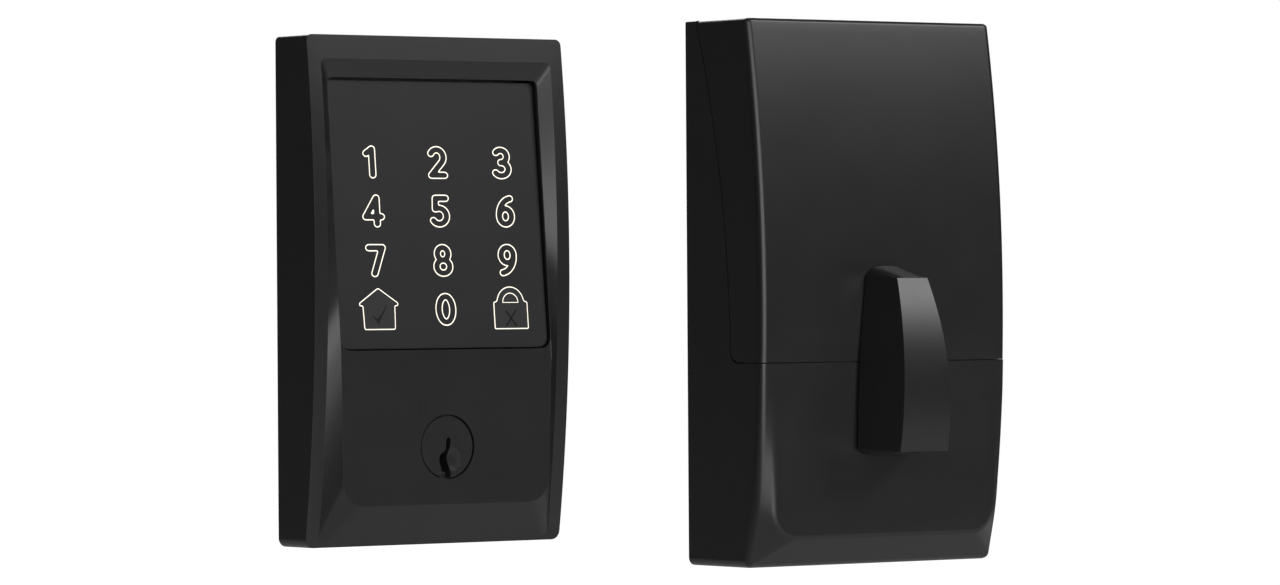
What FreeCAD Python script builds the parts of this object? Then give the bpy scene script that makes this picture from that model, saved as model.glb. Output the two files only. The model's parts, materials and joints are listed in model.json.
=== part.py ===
import FreeCAD, Part
import math
import os
import re
import Sketcher
from FreeCAD import Placement, Rotation, Vector

# Keypad smart lock, shown as its two halves side by side with both back faces on one plane.
# Millimetres, X to the right, Y into the door, Z up; both halves face -Y.
# The origin is the key axis of the outside half on that plane. A "depth" is a distance in front
# of the plane, so y = -depth. The inside half is drawn about its own thumbturn axis and placed.

doc = FreeCAD.newDocument("SmartLock")
sheet = doc.addObject("Spreadsheet::Sheet", "Sizes")
SIZES = {
    # outside half: overall box and the bowed rim
    "outside_width": 77.0, "outside_height": 127.0, "outside_rise": 39.1,
    "rim_depth_top": 14.0, "rim_depth_middle": 17.4, "rim_depth_bottom": 12.0,
    "rim_strip": 3.75, "rim_top_strip": 6.2, "rim_bottom_strip": 1.0,
    "wall_gauge": 2.2,
    # centre panel: the tilted screen above, the upright key panel below
    "screen_width": 63.4, "screen_height": 67.8, "screen_top_drop": 10.5,
    "screen_depth_top": 13.0, "screen_depth_bottom": 18.7,
    "screen_corner": 2.6, "screen_ledge": 2.2, "panel_wall": 2.6,
    "panel_half_width": 31.0, "panel_foot_rise": 10.1, "panel_depth_bottom": 18.2,
    # touchscreen stack, each inset measured inwards from the screen plane
    "lens_gap": 0.2, "lens_inset": 1.1, "lens_gauge": 1.2, "gasket_gauge": 0.5,
    "guide_gauge": 1.4, "board_inset": 4.7, "board_gauge": 1.0,
    "led_width": 1.6, "led_height": 0.8, "led_gauge": 0.35,
    "legend_column_pitch": 20.0, "legend_row_pitch": 12.3, "legend_top_rise": 13.7,
    # key cylinder, plug, pins and tailpiece
    "plug_head_radius": 7.7, "plug_head_bore": 8.1, "plug_head_gauge": 2.4,
    "plug_radius": 6.35, "running_gap": 0.05, "barrel_radius": 11.0,
    "barrel_front": 15.5, "barrel_back": 10.4, "chimney_half_width": 2.8, "chimney_top": 17.6,
    "pin_radius": 1.35, "pin_gap": 0.1, "pin_pitch": 3.96, "pin_setback": 5.0,
    "key_pin_foot": -1.2, "key_pin_top": 6.1, "driver_foot": 6.5, "driver_top": 10.5,
    "spring_top": 16.2, "retainer_gauge": 1.5, "retainer_radius": 7.6, "retainer_gap": 0.2,
    "tail_thickness": 1.6, "tail_corner_radius": 1.1, "tail_height": 6.4, "tail_reach": 50.0,
    # back of the outside half
    "back_plate_gauge": 1.2, "back_plate_depth": 1.8, "gasket_band": 5.0,
    "boss_radius": 18.7, "boss_flange_radius": 20.5, "boss_length": 6.0,
    "bolt_half_spacing": 15.0, "post_radius": 3.2, "post_reach": 20.0,
    "post_thread_radius": 1.65, "post_thread_length": 18.0,
    "screw_head_radius": 2.5, "screw_head_gauge": 1.1, "screw_shank_radius": 1.25,
    "outside_screw_x": 28.0, "outside_screw_low": -10.9, "outside_screw_high": 95.7,
    # inside half: overall box about the thumbturn axis, and where that axis stands
    "half_spacing": 129.5, "turn_axis_height": 19.8,
    "inside_width": 81.5, "inside_top": 89.1, "inside_bottom": -52.9,
    "front_depth_top": 25.9, "front_depth_seam": 31.7, "front_depth_bottom": 24.5,
    "front_radius": 450.0, "seam_radius": 292.0, "cover_wall": 2.0,
    "seam_depth_top": 4.3, "seam_depth_foot": 18.3, "seam_corner_rise": 3.4, "seam_gap": 0.3,
    "pad_half_width": 36.4, "pad_foot": -45.4, "pad_depth_foot": 31.2,
    "neck_hole_radius": 8.0,
    # plates of the inside half
    "support_gauge": 2.0, "support_half_width": 36.5, "support_half_height": 40.0,
    "bolt_hole_radius": 3.2, "chassis_gauge": 2.0,
    "deck_depth": 21.0, "deck_gauge": 1.5,
    # turn hub, thumbturn and gear train
    "hub_radius": 7.0, "hub_bearing_radius": 9.5, "hub_bearing_front": 9.0,
    "hub_flange_radius": 8.6, "hub_front": 32.3, "slot_width": 2.0, "slot_height": 6.9,
    "slot_front": 20.0,
    "lever_back": 32.4, "lever_radius": 24.6, "lever_top_half": 6.0, "lever_foot_half": 9.3,
    "lever_front_top": 41.5, "lever_front_foot": 47.0, "lever_front_radius": 78.0,
    "lever_side_radius": 320.0, "edge_fall_power": 1.7,
    "gear_module": 0.7, "output_teeth": 44, "idler_small_teeth": 12, "idler_large_teeth": 30,
    "pinion_teeth": 12, "idler_angle": 220.0, "motor_angle": 265.0,
    "output_back": 11.0, "output_front": 14.0, "small_back": 10.6, "small_front": 14.4,
    "large_back": 15.2, "large_front": 17.7, "pinion_back": 15.0, "pinion_front": 18.0,
    "shaft_radius": 1.5, "motor_radius": 6.0, "motor_back": 4.2, "motor_front": 14.2,
    "motor_shaft_radius": 0.75, "bridge_back": 18.8, "bridge_front": 20.0,
    # batteries
    "cell_radius": 7.1, "cell_pitch": 14.7, "cell_length": 49.2, "nub_radius": 2.75,
    "nub_length": 1.0, "cell_depth": 12.6, "tray_foot": 29.0, "tray_top": 85.2,
    "tray_half_width": 31.5, "tray_end_wall": 1.8, "contact_gauge": 0.4,
    # program button
    "button_x": 26.0, "button_z": 14.0, "button_radius": 3.0, "button_front": 24.5,
    "button_back": 12.4, "button_collar_radius": 4.2,
    # screws, bolts and posts of the inside half
    "screw_boss_radius": 3.2, "housing_screw_x": 32.0, "housing_screw_z": -46.5,
    "plate_screw_x": 31.0, "plate_screw_low": -34.0, "plate_screw_high": 22.0,
    "bolt_radius": 1.95, "bolt_head_radius": 4.0, "bolt_head_front": 4.3, "bolt_head_hole": 4.6,
    "bolt_reach": 28.0, "bolt_socket_radius": 1.6, "bridge_post_radius": 2.4, "post_pin_radius": 2.0,
    # chassis, deck and boards
    "chassis_half_width": 38.4, "chassis_bottom": -50.6, "chassis_top": 86.8,
    "deck_half_width": 38.2, "deck_bottom": 0.8, "deck_top": 28.6,
    "main_board_back": 6.0, "main_board_front": 7.6, "buzzer_x": 19.0, "buzzer_z": -42.0,
}
for row, (alias, number) in enumerate(SIZES.items(), 1):
    sheet.set(f"A{row}", alias)
    sheet.set(f"B{row}", str(number))
    sheet.setAlias(f"B{row}", alias)
doc.recompute()

nodes = []


def size(alias):
    return float(sheet.get(alias))


def formula(text):
    """The text with every sheet alias written out as a reference to the sheet."""
    return re.sub(r"\b([a-z]+(?:_[a-z]+)+)\b", r"Sizes.\1", str(text))


def bind(thing, name, text):
    thing.setExpression(name, formula(text))


def worth(text):
    """The present value of a formula, for the first draft of a sketch."""
    return float(sheet.evalExpression(formula(text)))


def node(thing, label, inside=False):
    """Names a finished sub-part; a piece of the inside half moves from its own axis into place."""
    if inside and thing.TypeId == "Part::Box":
        thing = group(thing.Name + "Placed", [thing])
    thing.Label = label
    if inside:
        bind(thing, "Placement.Base.x", "half_spacing")
        bind(thing, "Placement.Base.z", "turn_axis_height")
    nodes.append(thing)
    return thing


# ---- building blocks -----------------------------------------------------------------------


def block(name, x, depth, z):
    """A box between two x, two depths and two z, each a formula."""
    box = doc.addObject("Part::Box", name)
    bind(box, "Length", f"({x[1]}) - ({x[0]})")
    bind(box, "Width", f"({depth[1]}) - ({depth[0]})")
    bind(box, "Height", f"({z[1]}) - ({z[0]})")
    bind(box, "Placement.Base.x", x[0])
    bind(box, "Placement.Base.y", f"-({depth[1]})")
    bind(box, "Placement.Base.z", z[0])
    return box


def rod(name, x, z, radius, depth):
    """A cylinder along Y, between two depths."""
    piece = doc.addObject("Part::Cylinder", name)
    piece.Placement = Placement(Vector(), Rotation(Vector(1, 0, 0), 90))
    bind(piece, "Radius", radius)
    bind(piece, "Height", f"({depth[1]}) - ({depth[0]})")
    bind(piece, "Placement.Base.x", x)
    bind(piece, "Placement.Base.y", f"-({depth[0]})")
    bind(piece, "Placement.Base.z", z)
    return piece


def upright(name, x, depth, radius, z):
    """A cylinder along Z."""
    piece = doc.addObject("Part::Cylinder", name)
    bind(piece, "Radius", radius)
    bind(piece, "Height", f"({z[1]}) - ({z[0]})")
    bind(piece, "Placement.Base.x", x)
    bind(piece, "Placement.Base.y", f"-({depth})")
    bind(piece, "Placement.Base.z", z[0])
    return piece


def joined(name, pieces):
    piece = doc.addObject("Part::MultiFuse", name)
    piece.Shapes = pieces
    return piece


def group(name, pieces):
    piece = doc.addObject("Part::Compound", name)
    piece.Links = pieces
    return piece


def cut(name, base, tools):
    piece = doc.addObject("Part::Cut", name)
    piece.Base = base
    piece.Tool = tools[0] if len(tools) == 1 else joined(name + "Tools", tools)
    return piece


def common(name, pieces):
    piece = doc.addObject("Part::MultiCommon", name)
    piece.Shapes = pieces
    return piece


def rounded(name, base, radius, wanted):
    """Fillets the edges that the test picks, all with one radius from the sheet."""
    doc.recompute()
    picked = [i for i, e in enumerate(base.Shape.Edges, 1) if wanted(e)]
    piece = doc.addObject("Part::Fillet", name)
    piece.Base = base
    piece.Edges = [(i, size(radius), size(radius)) for i in picked]
    return piece


def origin_plane(body, role):
    return [f for f in body.Origin.OriginFeatures if f.Role == role][0]


def outline(body, name, role, corners, bends=None):
    """A closed sketch through the corners; a bend is (1 to bow right or -1 left, radius)."""
    sketch = body.newObject("Sketcher::SketchObject", name)
    sketch.AttachmentSupport = (origin_plane(body, role), [""])
    sketch.MapMode = "FlatFace"
    points = [Vector(worth(u), worth(v), 0) for u, v in corners]
    count = len(points)
    bends = bends or {}
    for i, start in enumerate(points):
        end = points[(i + 1) % count]
        if i in bends:
            side, radius = bends[i]
            chord = end - start
            middle = (start + end) * 0.5
            across = Vector(chord.y, -chord.x, 0).normalize() * side
            sag = worth(radius) - math.sqrt(worth(radius) ** 2 - chord.Length ** 2 / 4)
            first, last = (start, end) if side > 0 else (end, start)
            sketch.addGeometry(Part.Arc(first, middle + across * sag, last))
        else:
            sketch.addGeometry(Part.LineSegment(start, end))
    ends = []
    for i, start in enumerate(points):
        geometry = sketch.Geometry[i]
        forward = (geometry.StartPoint - start).Length < 1e-6
        ends.append((1, 2) if forward else (2, 1))
    for i in range(count):
        after = (i + 1) % count
        sketch.addConstraint(Sketcher.Constraint("Coincident", i, ends[i][1], after, ends[after][0]))
    for i, (u, v) in enumerate(corners):
        for kind, text in (("DistanceX", u), ("DistanceY", v)):
            number = sketch.addConstraint(Sketcher.Constraint(kind, -1, 1, i, ends[i][0], worth(text)))
            sketch.setExpression(f"Constraints[{number}]", formula(text))
    for i, (side, radius) in bends.items():
        number = sketch.addConstraint(Sketcher.Constraint("Radius", i, worth(radius)))
        sketch.setExpression(f"Constraints[{number}]", formula(radius))
    return sketch


def padded_outline(name, role, corners, length, bends=None, both_ways=False, lift="0"):
    """A body with one pad; on XZ it grows forwards from the depth lift, on YZ across X."""
    body = doc.addObject("PartDesign::Body", name)
    sketch = outline(body, name + "Outline", role, corners, bends)
    bind(sketch, "AttachmentOffset.Base.z", lift)
    pad = body.newObject("PartDesign::Pad", name + "Pad")
    pad.Profile = sketch
    bind(pad, "Length", length)
    pad.Midplane = both_ways
    doc.recompute()
    return body


def side_slab(name, corners, width, bends=None):
    """A slab cut from a side view: corners are (depth, z), the slab is centred on x = 0."""
    flipped = [(f"-({depth})", z) for depth, z in corners]
    return padded_outline(name, "YZ_Plane", flipped, width, bends, both_ways=True)


def loft_levels(name, levels):
    """A solid through level polygons; each level is (z, [(x, depth), ...]) and is mirrored in x."""
    wires = []
    for z, half in levels:
        right = [Vector(x, -depth, z) for x, depth in half]
        left = [Vector(-x, -depth, z) for x, depth in reversed(half)]
        wires.append(Part.makePolygon(right + left + [right[0]]))
    piece = doc.addObject("Part::Feature", name)
    piece.Shape = Part.makeLoft(wires, True, True)
    return piece


# ---- outside half: housing -----------------------------------------------------------------

OUT_TOP = "outside_rise + outside_height / 2"
OUT_FOOT = "outside_rise - outside_height / 2"
SCREEN_TOP = f"{OUT_TOP} - screen_top_drop"
SCREEN_FOOT = f"{SCREEN_TOP} - screen_height"
PANEL_FOOT = f"{OUT_FOOT} + panel_foot_rise"
SCREEN_MIDDLE = f"{SCREEN_TOP} - screen_height / 2"
SCREEN_DEPTH = "(screen_depth_top + screen_depth_bottom) / 2"
SCREEN_TILT = "atan((screen_depth_bottom - screen_depth_top) / screen_height)"


def rim_depth(z):
    """Depth of the bowed rim: a parabola through its top, middle and bottom depths."""
    reach = size("outside_height") / 2
    at = (z - size("outside_rise")) / reach
    top, middle, foot = (size("rim_depth_" + part) for part in ("top", "middle", "bottom"))
    return middle + at * (top - foot) / 2 + at * at * ((top + foot) / 2 - middle)


def panel_depth(z):
    """Depth of the centre panel: sloping over the screen, nearly upright over the key panel."""
    top, foot, base = worth(SCREEN_TOP), worth(SCREEN_FOOT), worth(PANEL_FOOT)
    high, low, end = size("screen_depth_top"), size("screen_depth_bottom"), size("panel_depth_bottom")
    if z >= foot:
        return high + (low - high) * (top - z) / (top - foot)
    return low + (end - low) * (foot - z) / (foot - base)


def outside_level(z, panel_half, centre_depth):
    half = size("outside_width") / 2
    strip = half - size("rim_strip")
    rim = rim_depth(z)
    return z, [(half, 0), (half, rim), (strip, rim), (panel_half, centre_depth)]


def outside_shell():
    top, foot = worth(OUT_TOP), worth(OUT_FOOT)
    strip = size("outside_width") / 2 - size("rim_strip")
    bevel_top = top - size("rim_top_strip")
    bevel_foot = foot + size("rim_bottom_strip")
    narrow, wide = size("panel_half_width"), strip - 0.4
    levels = [outside_level(foot, wide, rim_depth(foot))]
    levels.append(outside_level(bevel_foot, wide, rim_depth(bevel_foot)))
    panel_levels = (worth(PANEL_FOOT), 0.0, worth(SCREEN_FOOT), 45.0, 68.0, worth(SCREEN_TOP))
    levels += [outside_level(z, narrow, panel_depth(z)) for z in panel_levels]
    levels.append(outside_level(bevel_top, wide, rim_depth(bevel_top)))
    levels.append(outside_level(top, wide, rim_depth(top)))
    return loft_levels("OutsideShell", levels)


def tilted(thing):
    """Stands a screen layer on the screen plane, at the screen's centre."""
    bind(thing, "Placement.Base.y", f"-({SCREEN_DEPTH})")
    bind(thing, "Placement.Base.z", SCREEN_MIDDLE)
    thing.Placement.Rotation = Rotation(Vector(1, 0, 0), -worth(SCREEN_TILT))
    return thing


def rectangle(half_width, half_height):
    w, h = f"({half_width})", f"({half_height})"
    return [(f"-{w}", f"-{h}"), (w, f"-{h}"), (w, h), (f"-{w}", h)]


def screen_layer(name, width, height, inset, gauge, corner=None):
    """A rectangular layer whose front lies at an inset below the screen plane."""
    corners = rectangle(f"({width}) / 2", f"({height}) / 2")
    body = padded_outline(name, "XZ_Plane", corners, gauge, lift=f"-({inset}) - ({gauge})")
    if corner:
        upright_edges = [
            f"Edge{i}" for i, e in enumerate(body.Shape.Edges, 1)
            if abs(e.Vertexes[0].Y - e.Vertexes[1].Y) > 1e-6
        ]
        pad = body.Tip
        fillet = body.newObject("PartDesign::Fillet", name + "Corners")
        fillet.Base = (pad, upright_edges)
        bind(fillet, "Radius", corner)
        body.Tip = fillet
    return tilted(body)


def outside_screw_places():
    return [(x, z) for x in ("-outside_screw_x", "outside_screw_x")
            for z in ("outside_screw_low", "outside_screw_high")]


def outside_housing():
    shell = outside_shell()
    lid = "(wall_gauge)"
    high = f"({OUT_TOP}) - {lid}"
    low = f"({OUT_FOOT}) + {lid}"
    deep_top = "screen_depth_top - panel_wall"
    sides = side_slab("SideHollow", [
        ("-1", low), ("9.6", low), ("12.2", "-6"), ("14.4", "19"), ("14.2", "47"),
        (deep_top, SCREEN_TOP), (deep_top, high), ("-1", high),
    ], "outside_width - 2 * wall_gauge")
    centre = side_slab("CentreHollow", [
        ("-1", "-12"), ("barrel_front + 0.1", "-12"), ("barrel_front + 0.1", "12"),
        ("screen_depth_bottom - panel_wall", SCREEN_FOOT), (deep_top, SCREEN_TOP),
        ("-1", SCREEN_TOP),
    ], "2 * panel_half_width + 2")
    recess = screen_layer("ScreenRecess", "screen_width", "screen_height", "-2",
                          "2 + lens_inset + lens_gauge + gasket_gauge", "screen_corner")
    window = screen_layer("ScreenWindow", "screen_width - 2 * screen_ledge",
                          "screen_height - 2 * screen_ledge", "0", "6")
    bore = rod("PanelBore", "0", "0", "plug_head_bore", ("1", "25"))
    hollow = cut("HollowShell", shell, [sides, centre, recess, window, bore])
    bosses, holes = [], []
    for i, (x, z) in enumerate(outside_screw_places()):
        bosses.append(rod(f"OutsideBoss{i}", x, z, "screw_boss_radius",
                          ("back_plate_depth + back_plate_gauge", "13")))
        holes.append(rod(f"OutsideBossHole{i}", x, z, "screw_shank_radius + running_gap", ("0", "10")))
    filled = joined("BossedShell", [hollow] + bosses)
    node(cut("OutsideHousing", filled, holes), "outside_housing")


def touchscreen():
    lens_width = "screen_width - 2 * lens_gap"
    lens_height = "screen_height - 2 * lens_gap"
    node(screen_layer("Lens", lens_width, lens_height, "lens_inset", "lens_gauge",
                      "screen_corner - lens_gap"), "touchscreen_lens")
    inset = "lens_inset + lens_gauge"
    band = screen_layer("GasketBand", lens_width, lens_height, inset, "gasket_gauge",
                        "screen_corner - lens_gap")
    opening = screen_layer("GasketOpening", "screen_width - 2 * screen_ledge",
                           "screen_height - 2 * screen_ledge", inset, "gasket_gauge")
    node(cut("ScreenGasket", band, [opening]), "screen_gasket")
    node(screen_layer("Guide", "screen_width - 2 * screen_ledge - 0.6",
                      "screen_height - 2 * screen_ledge - 0.6",
                      f"{inset} + gasket_gauge", "guide_gauge"), "light_guide")
    node(screen_layer("TouchBoard", "screen_width - 4", "screen_height - 4",
                      "board_inset", "board_gauge"), "touch_circuit_board")


def legend_lights():
    """One light behind each of the twelve keys, on the front of the touch board."""
    lights = []
    for column in (-1, 0, 1):
        for row in range(4):
            light = block(
                f"Light{column + 1}{row}",
                (f"{column} * legend_column_pitch - led_width / 2",
                 f"{column} * legend_column_pitch + led_width / 2"),
                ("-board_inset", "-board_inset + led_gauge"),
                (f"legend_top_rise - {row} * legend_row_pitch - led_height / 2",
                 f"legend_top_rise - {row} * legend_row_pitch + led_height / 2"))
            lights.append(light)
    node(tilted(group("LegendLights", lights)), "legend_lights")
    plug = block("BoardSocket", ("-5", "5"), ("-board_inset - board_gauge - 3.6",
                 "-board_inset - board_gauge"), ("-26", "-20"))
    mouth = block("BoardSocketMouth", ("-4", "4"), ("-board_inset - board_gauge - 4",
                  "-board_inset - board_gauge - 0.8"), ("-25", "-21"))
    node(tilted(cut("BoardConnector", plug, [mouth])), "board_connector")


# ---- outside half: key cylinder ------------------------------------------------------------


def pin_depths():
    return [f"barrel_front - pin_setback - {i} * pin_pitch" for i in range(5)]


def pin_row(name, radius, foot, top):
    return [upright(f"{name}{i}", "0", depth, radius, (foot, top))
            for i, depth in enumerate(pin_depths())]


def key_cylinder():
    span = ("-barrel_back", "barrel_front")
    barrel = rod("Barrel", "0", "0", "barrel_radius", span)
    chimney = block("Chimney", ("-chimney_half_width", "chimney_half_width"), span, ("0", "chimney_top"))
    plug_bore = rod("PlugBore", "0", "0", "plug_radius + running_gap",
                    ("-barrel_back - 1", "barrel_front + 1"))
    pin_bores = pin_row("ChamberBore", "pin_radius + pin_gap", "0", "spring_top + 0.1")
    body = joined("CylinderSolid", [barrel, chimney])
    node(cut("CylinderHousing", body, [plug_bore] + pin_bores), "cylinder_housing")


def key_plug():
    head_back = "barrel_front + 0.2"
    head = rod("PlugHead", "0", "0", "plug_head_radius", (head_back, f"{head_back} + plug_head_gauge"))
    stem = rod("PlugStem", "0", "0", "plug_radius", ("-barrel_back - retainer_gap", head_back))
    slots = [
        block("KeywayTop", ("0.3", "1.4"), ("-7", "20"), ("-2.0", "2.6")),
        block("KeywayJog", ("-2.2", "1.4"), ("-7", "20"), ("-4.4", "-1.6")),
        block("KeywayFoot", ("-0.6", "1.0"), ("-7", "20"), ("-7.3", "-4.0")),
    ]
    pin_bores = pin_row("PlugPinBore", "pin_radius + pin_gap", "key_pin_foot - 0.2", "9")
    plug = cut("KeyPlug", joined("PlugSolid", [head, stem]), slots + pin_bores)
    node(plug, "key_plug")
    node(group("KeyPins", pin_row("KeyPin", "pin_radius", "key_pin_foot", "key_pin_top")), "key_pins")
    node(group("DriverPins", pin_row("Driver", "pin_radius", "driver_foot", "driver_top")), "driver_pins")
    springs = []
    for i, depth in enumerate(pin_depths()):
        coil = upright(f"SpringCoil{i}", "0", depth, "pin_radius", ("driver_top", "spring_top"))
        hollow = upright(f"SpringHollow{i}", "0", depth, "pin_radius - 0.3", ("driver_top", "spring_top"))
        springs.append(cut(f"PinSpring{i}", coil, [hollow]))
    node(group("PinSprings", springs), "pin_springs")


def tail():
    back = "-barrel_back - retainer_gap"
    cap = rod("RetainerCap", "0", "0", "retainer_radius", (f"{back} - retainer_gauge", back))
    slot = block("RetainerSlot", ("-tail_thickness / 2", "tail_thickness / 2"),
                 (f"{back} - 2", "0"), ("-tail_height / 2", "tail_height / 2"))
    node(cut("PlugRetainer", cap, [slot]), "plug_retainer")
    bar = block("TailBar", ("-tail_thickness / 2", "tail_thickness / 2"),
                ("-tail_reach", back), ("-tail_height / 2", "tail_height / 2"))
    node(rounded("Tailpiece", bar, "tail_corner_radius", lambda e: tail_end(e)), "tailpiece")


def tail_end(edge):
    """The two end edges of the tail bar that run across its thickness."""
    a, b = edge.Vertexes
    return abs(a.X - b.X) > 1e-6 and a.Y > size("tail_reach") - 1e-6


# ---- outside half: back --------------------------------------------------------------------

CABLE_SLOT = (("-5", "5"), ("-boss_length - 1", "5"), ("-17", "-12.2"))


def outside_back():
    half_width = "outside_width / 2 - wall_gauge - 0.2"
    half_height = "outside_height / 2 - wall_gauge - 0.2"
    x = (f"-({half_width})", half_width)
    z = (f"outside_rise - ({half_height})", f"outside_rise + {half_height}")
    front = "back_plate_depth + back_plate_gauge"
    plate = block("BackPlateBlank", x, ("back_plate_depth", front), z)
    holes = [
        rod("PlateBarrelHole", "0", "0", "barrel_radius + 0.3", ("0", "5")),
        block("PlateChimneyHole", ("-chimney_half_width - 0.3", "chimney_half_width + 0.3"),
              ("0", "5"), ("0", "chimney_top + 0.3")),
        block("PlateCableSlot", *CABLE_SLOT),
    ]
    screws, head_holes = [], []
    for i, (sx, sz) in enumerate(outside_screw_places()):
        head_holes.append(rod(f"GasketScrewHole{i}", sx, sz, "screw_head_radius + 0.4", ("-1", "5")))
        holes.append(rod(f"PlateScrewHole{i}", sx, sz, "screw_shank_radius + running_gap", ("0", "5")))
        head = rod(f"BackScrewHead{i}", sx, sz, "screw_head_radius",
                   ("back_plate_depth - screw_head_gauge", "back_plate_depth"))
        shank = rod(f"BackScrewShank{i}", sx, sz, "screw_shank_radius", ("back_plate_depth", "9"))
        socket = rod(f"BackScrewSocket{i}", sx, sz, "1.1", ("0", "1.4"))
        screws.append(cut(f"BackScrew{i}", joined(f"BackScrewSolid{i}", [head, shank]), [socket]))
    node(cut("BackPlate", plate, holes), "outside_back_plate")
    node(group("BackScrews", screws), "back_plate_screws")
    sheet_rubber = block("GasketBlank", x, ("0", "back_plate_depth"), z)
    inner = block("GasketInner", (f"-({half_width}) + gasket_band", f"{half_width} - gasket_band"),
                  ("-1", "5"), (f"outside_rise - ({half_height}) + gasket_band",
                                f"outside_rise + {half_height} - gasket_band"))
    flange_hole = rod("GasketFlangeHole", "0", "0", "boss_flange_radius + 0.2", ("-1", "5"))
    node(cut("WeatherGasket", sheet_rubber, [inner, flange_hole] + head_holes), "weather_gasket")
    disc = rod("BossDisc", "0", "0", "boss_radius", ("-boss_length", "0"))
    flange = rod("BossFlange", "0", "0", "boss_flange_radius", ("0", "back_plate_depth"))
    boss_holes = [
        rod("BossBarrelHole", "0", "0", "barrel_radius + 0.1", ("-boss_length - 1", "5")),
        block("BossChimneyHole", ("-chimney_half_width - 0.1", "chimney_half_width + 0.1"),
              ("-boss_length - 1", "5"), ("0", "chimney_top + 0.1")),
        block("BossCableSlot", *CABLE_SLOT),
    ]
    posts = []
    for i, px in enumerate(("-bolt_half_spacing", "bolt_half_spacing")):
        boss_holes.append(rod(f"BossPostHole{i}", px, "0", "post_radius", ("-boss_length - 1", "5")))
        post = rod(f"Post{i}", px, "0", "post_radius", ("-post_reach", "back_plate_depth"))
        thread = rod(f"PostThread{i}", px, "0", "post_thread_radius",
                     ("-post_reach - 1", "-post_reach + post_thread_length"))
        posts.append(cut(f"MountingPost{i}", post, [thread]))
    node(group("MountingPosts", posts), "mounting_posts")
    node(cut("BoreBoss", joined("BossSolid", [disc, flange]), boss_holes), "bore_boss")


# ---- inside half: housing and battery cover -------------------------------------------------

IN_HALF = "inside_width / 2"


def skirt_corners(gap):
    """Side view of the seam between skirt and cover, moved forwards by the gap."""
    return [
        (f"seam_depth_foot + 3 + {gap}", "-seam_gap / 2"),
        (f"seam_depth_foot + {gap}", "seam_corner_rise"),
        (f"seam_depth_top + {gap}", "inside_top"),
    ]


def inside_housing():
    half, pad = worth(IN_HALF), size("pad_half_width")
    top = -size("seam_gap") / 2
    foot, pad_foot = size("inside_bottom"), size("pad_foot")

    def edge(z):
        """Depth of the outer front edge, falling on an arc from the seam to the foot."""
        fall = size("front_depth_bottom") - size("front_depth_seam")
        return size("front_depth_seam") + fall * ((z - top) / (foot - top)) ** size("edge_fall_power")

    def level(z, half_pad, pad_front):
        return z, [(half, 0), (half, edge(z)), (half_pad, pad_front)]

    slope = (size("pad_depth_foot") - size("front_depth_seam")) / (pad_foot - top)
    levels = [level(foot, pad + 1.5, edge(foot))]
    levels += [level(z, pad, size("front_depth_seam") + slope * (z - top))
               for z in (pad_foot, -34.0, -17.0, top)]
    lower = loft_levels("LowerShell", levels)
    skirt = side_slab("Skirt", [
        ("0", "-seam_gap / 2"), *skirt_corners("0"), ("0", "inside_top"),
    ], "inside_width", {2: (-1, "seam_radius")})
    inner = f"({IN_HALF}) - cover_wall"
    hollow = [
        block("SkirtHollow", (f"-({inner})", inner), ("-1", "28"),
              ("-1", "inside_top - cover_wall")),
        block("LowerHollow", (f"-({inner})", inner), ("-1", "22.2"),
              ("inside_bottom + cover_wall", "1")),
        block("PadHollow", ("-pad_half_width + 1", "pad_half_width - 1"),
              ("-1", "pad_depth_foot - cover_wall"), ("pad_foot + 2", "1")),
        rod("NeckNotch", "0", "0", "neck_hole_radius", ("20", "40")),
    ]
    shell = cut("InsideShell", joined("InsideSolid", [lower, skirt]), hollow)
    bosses, holes = [], []
    for i, (sx, sz) in enumerate(HOUSING_SCREWS):
        bosses.append(rod(f"InsideBoss{i}", sx, sz, "screw_boss_radius",
                          ("support_gauge + chassis_gauge", "24")))
        holes.append(rod(f"InsideBossHole{i}", sx, sz, "screw_shank_radius + running_gap", ("0", "11")))
    filled = joined("InsideBossed", [shell] + bosses)
    node(cut("InsideHousing", filled, holes), "inside_housing", inside=True)


def cover_solid(name, wall, gap):
    """The battery cover's side view, drawn in by the wall, as a slab."""
    front_seam = f"front_depth_seam - {wall}"
    corners = skirt_corners(gap)
    corners[0] = (corners[0][0], "seam_gap / 2")
    corners[2] = (corners[2][0], f"inside_top - {wall}")
    return side_slab(name, [
        *corners, (f"front_depth_top - {wall}", f"inside_top - {wall}"), (front_seam, "seam_gap / 2"),
    ], f"inside_width - 2 * {wall}", {1: (-1, "seam_radius"), 3: (1, "front_radius")})


def battery_cover():
    outer = cover_solid("CoverOuter", "0", "seam_gap")
    inner = "inside_width / 2 - cover_wall"
    hollow_front = side_slab("CoverHollow", [
        ("-5", "-5"), ("-5", "inside_top - cover_wall"),
        ("front_depth_top - cover_wall", "inside_top - cover_wall"),
        ("front_depth_seam - cover_wall", "-5"),
    ], f"2 * ({inner})", {2: (1, "front_radius")})
    notch = rod("CoverNotch", "0", "0", "neck_hole_radius", ("20", "40"))
    node(cut("BatteryCover", outer, [hollow_front, notch]), "battery_cover", inside=True)


# ---- inside half: plates --------------------------------------------------------------------


THROUGH = ("-1", "5")                   # cuts right through the two plates and the gasket
HOUSING_SCREWS = (("-housing_screw_x", "housing_screw_z"), ("housing_screw_x", "housing_screw_z"))
BRIDGE_POSTS = (("-30", "-3.5"), ("-27.8", "-29"), ("-5.2", "-30"))
BOARD_POSTS = (("22", "10"), ("34", "-18"), ("4", "-44"))
DECK_POSTS = (("-36", "26"), ("15.2", "26"), ("-36", "4"))


def plate_screw_places():
    sides, heights = ("-plate_screw_x", "plate_screw_x"), ("plate_screw_low", "plate_screw_high")
    return [(x, z) for x in sides for z in heights]


def posts(name, places, radius, front):
    return [rod(f"{name}{i}", x, z, radius, ("3", front)) for i, (x, z) in enumerate(places)]


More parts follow.
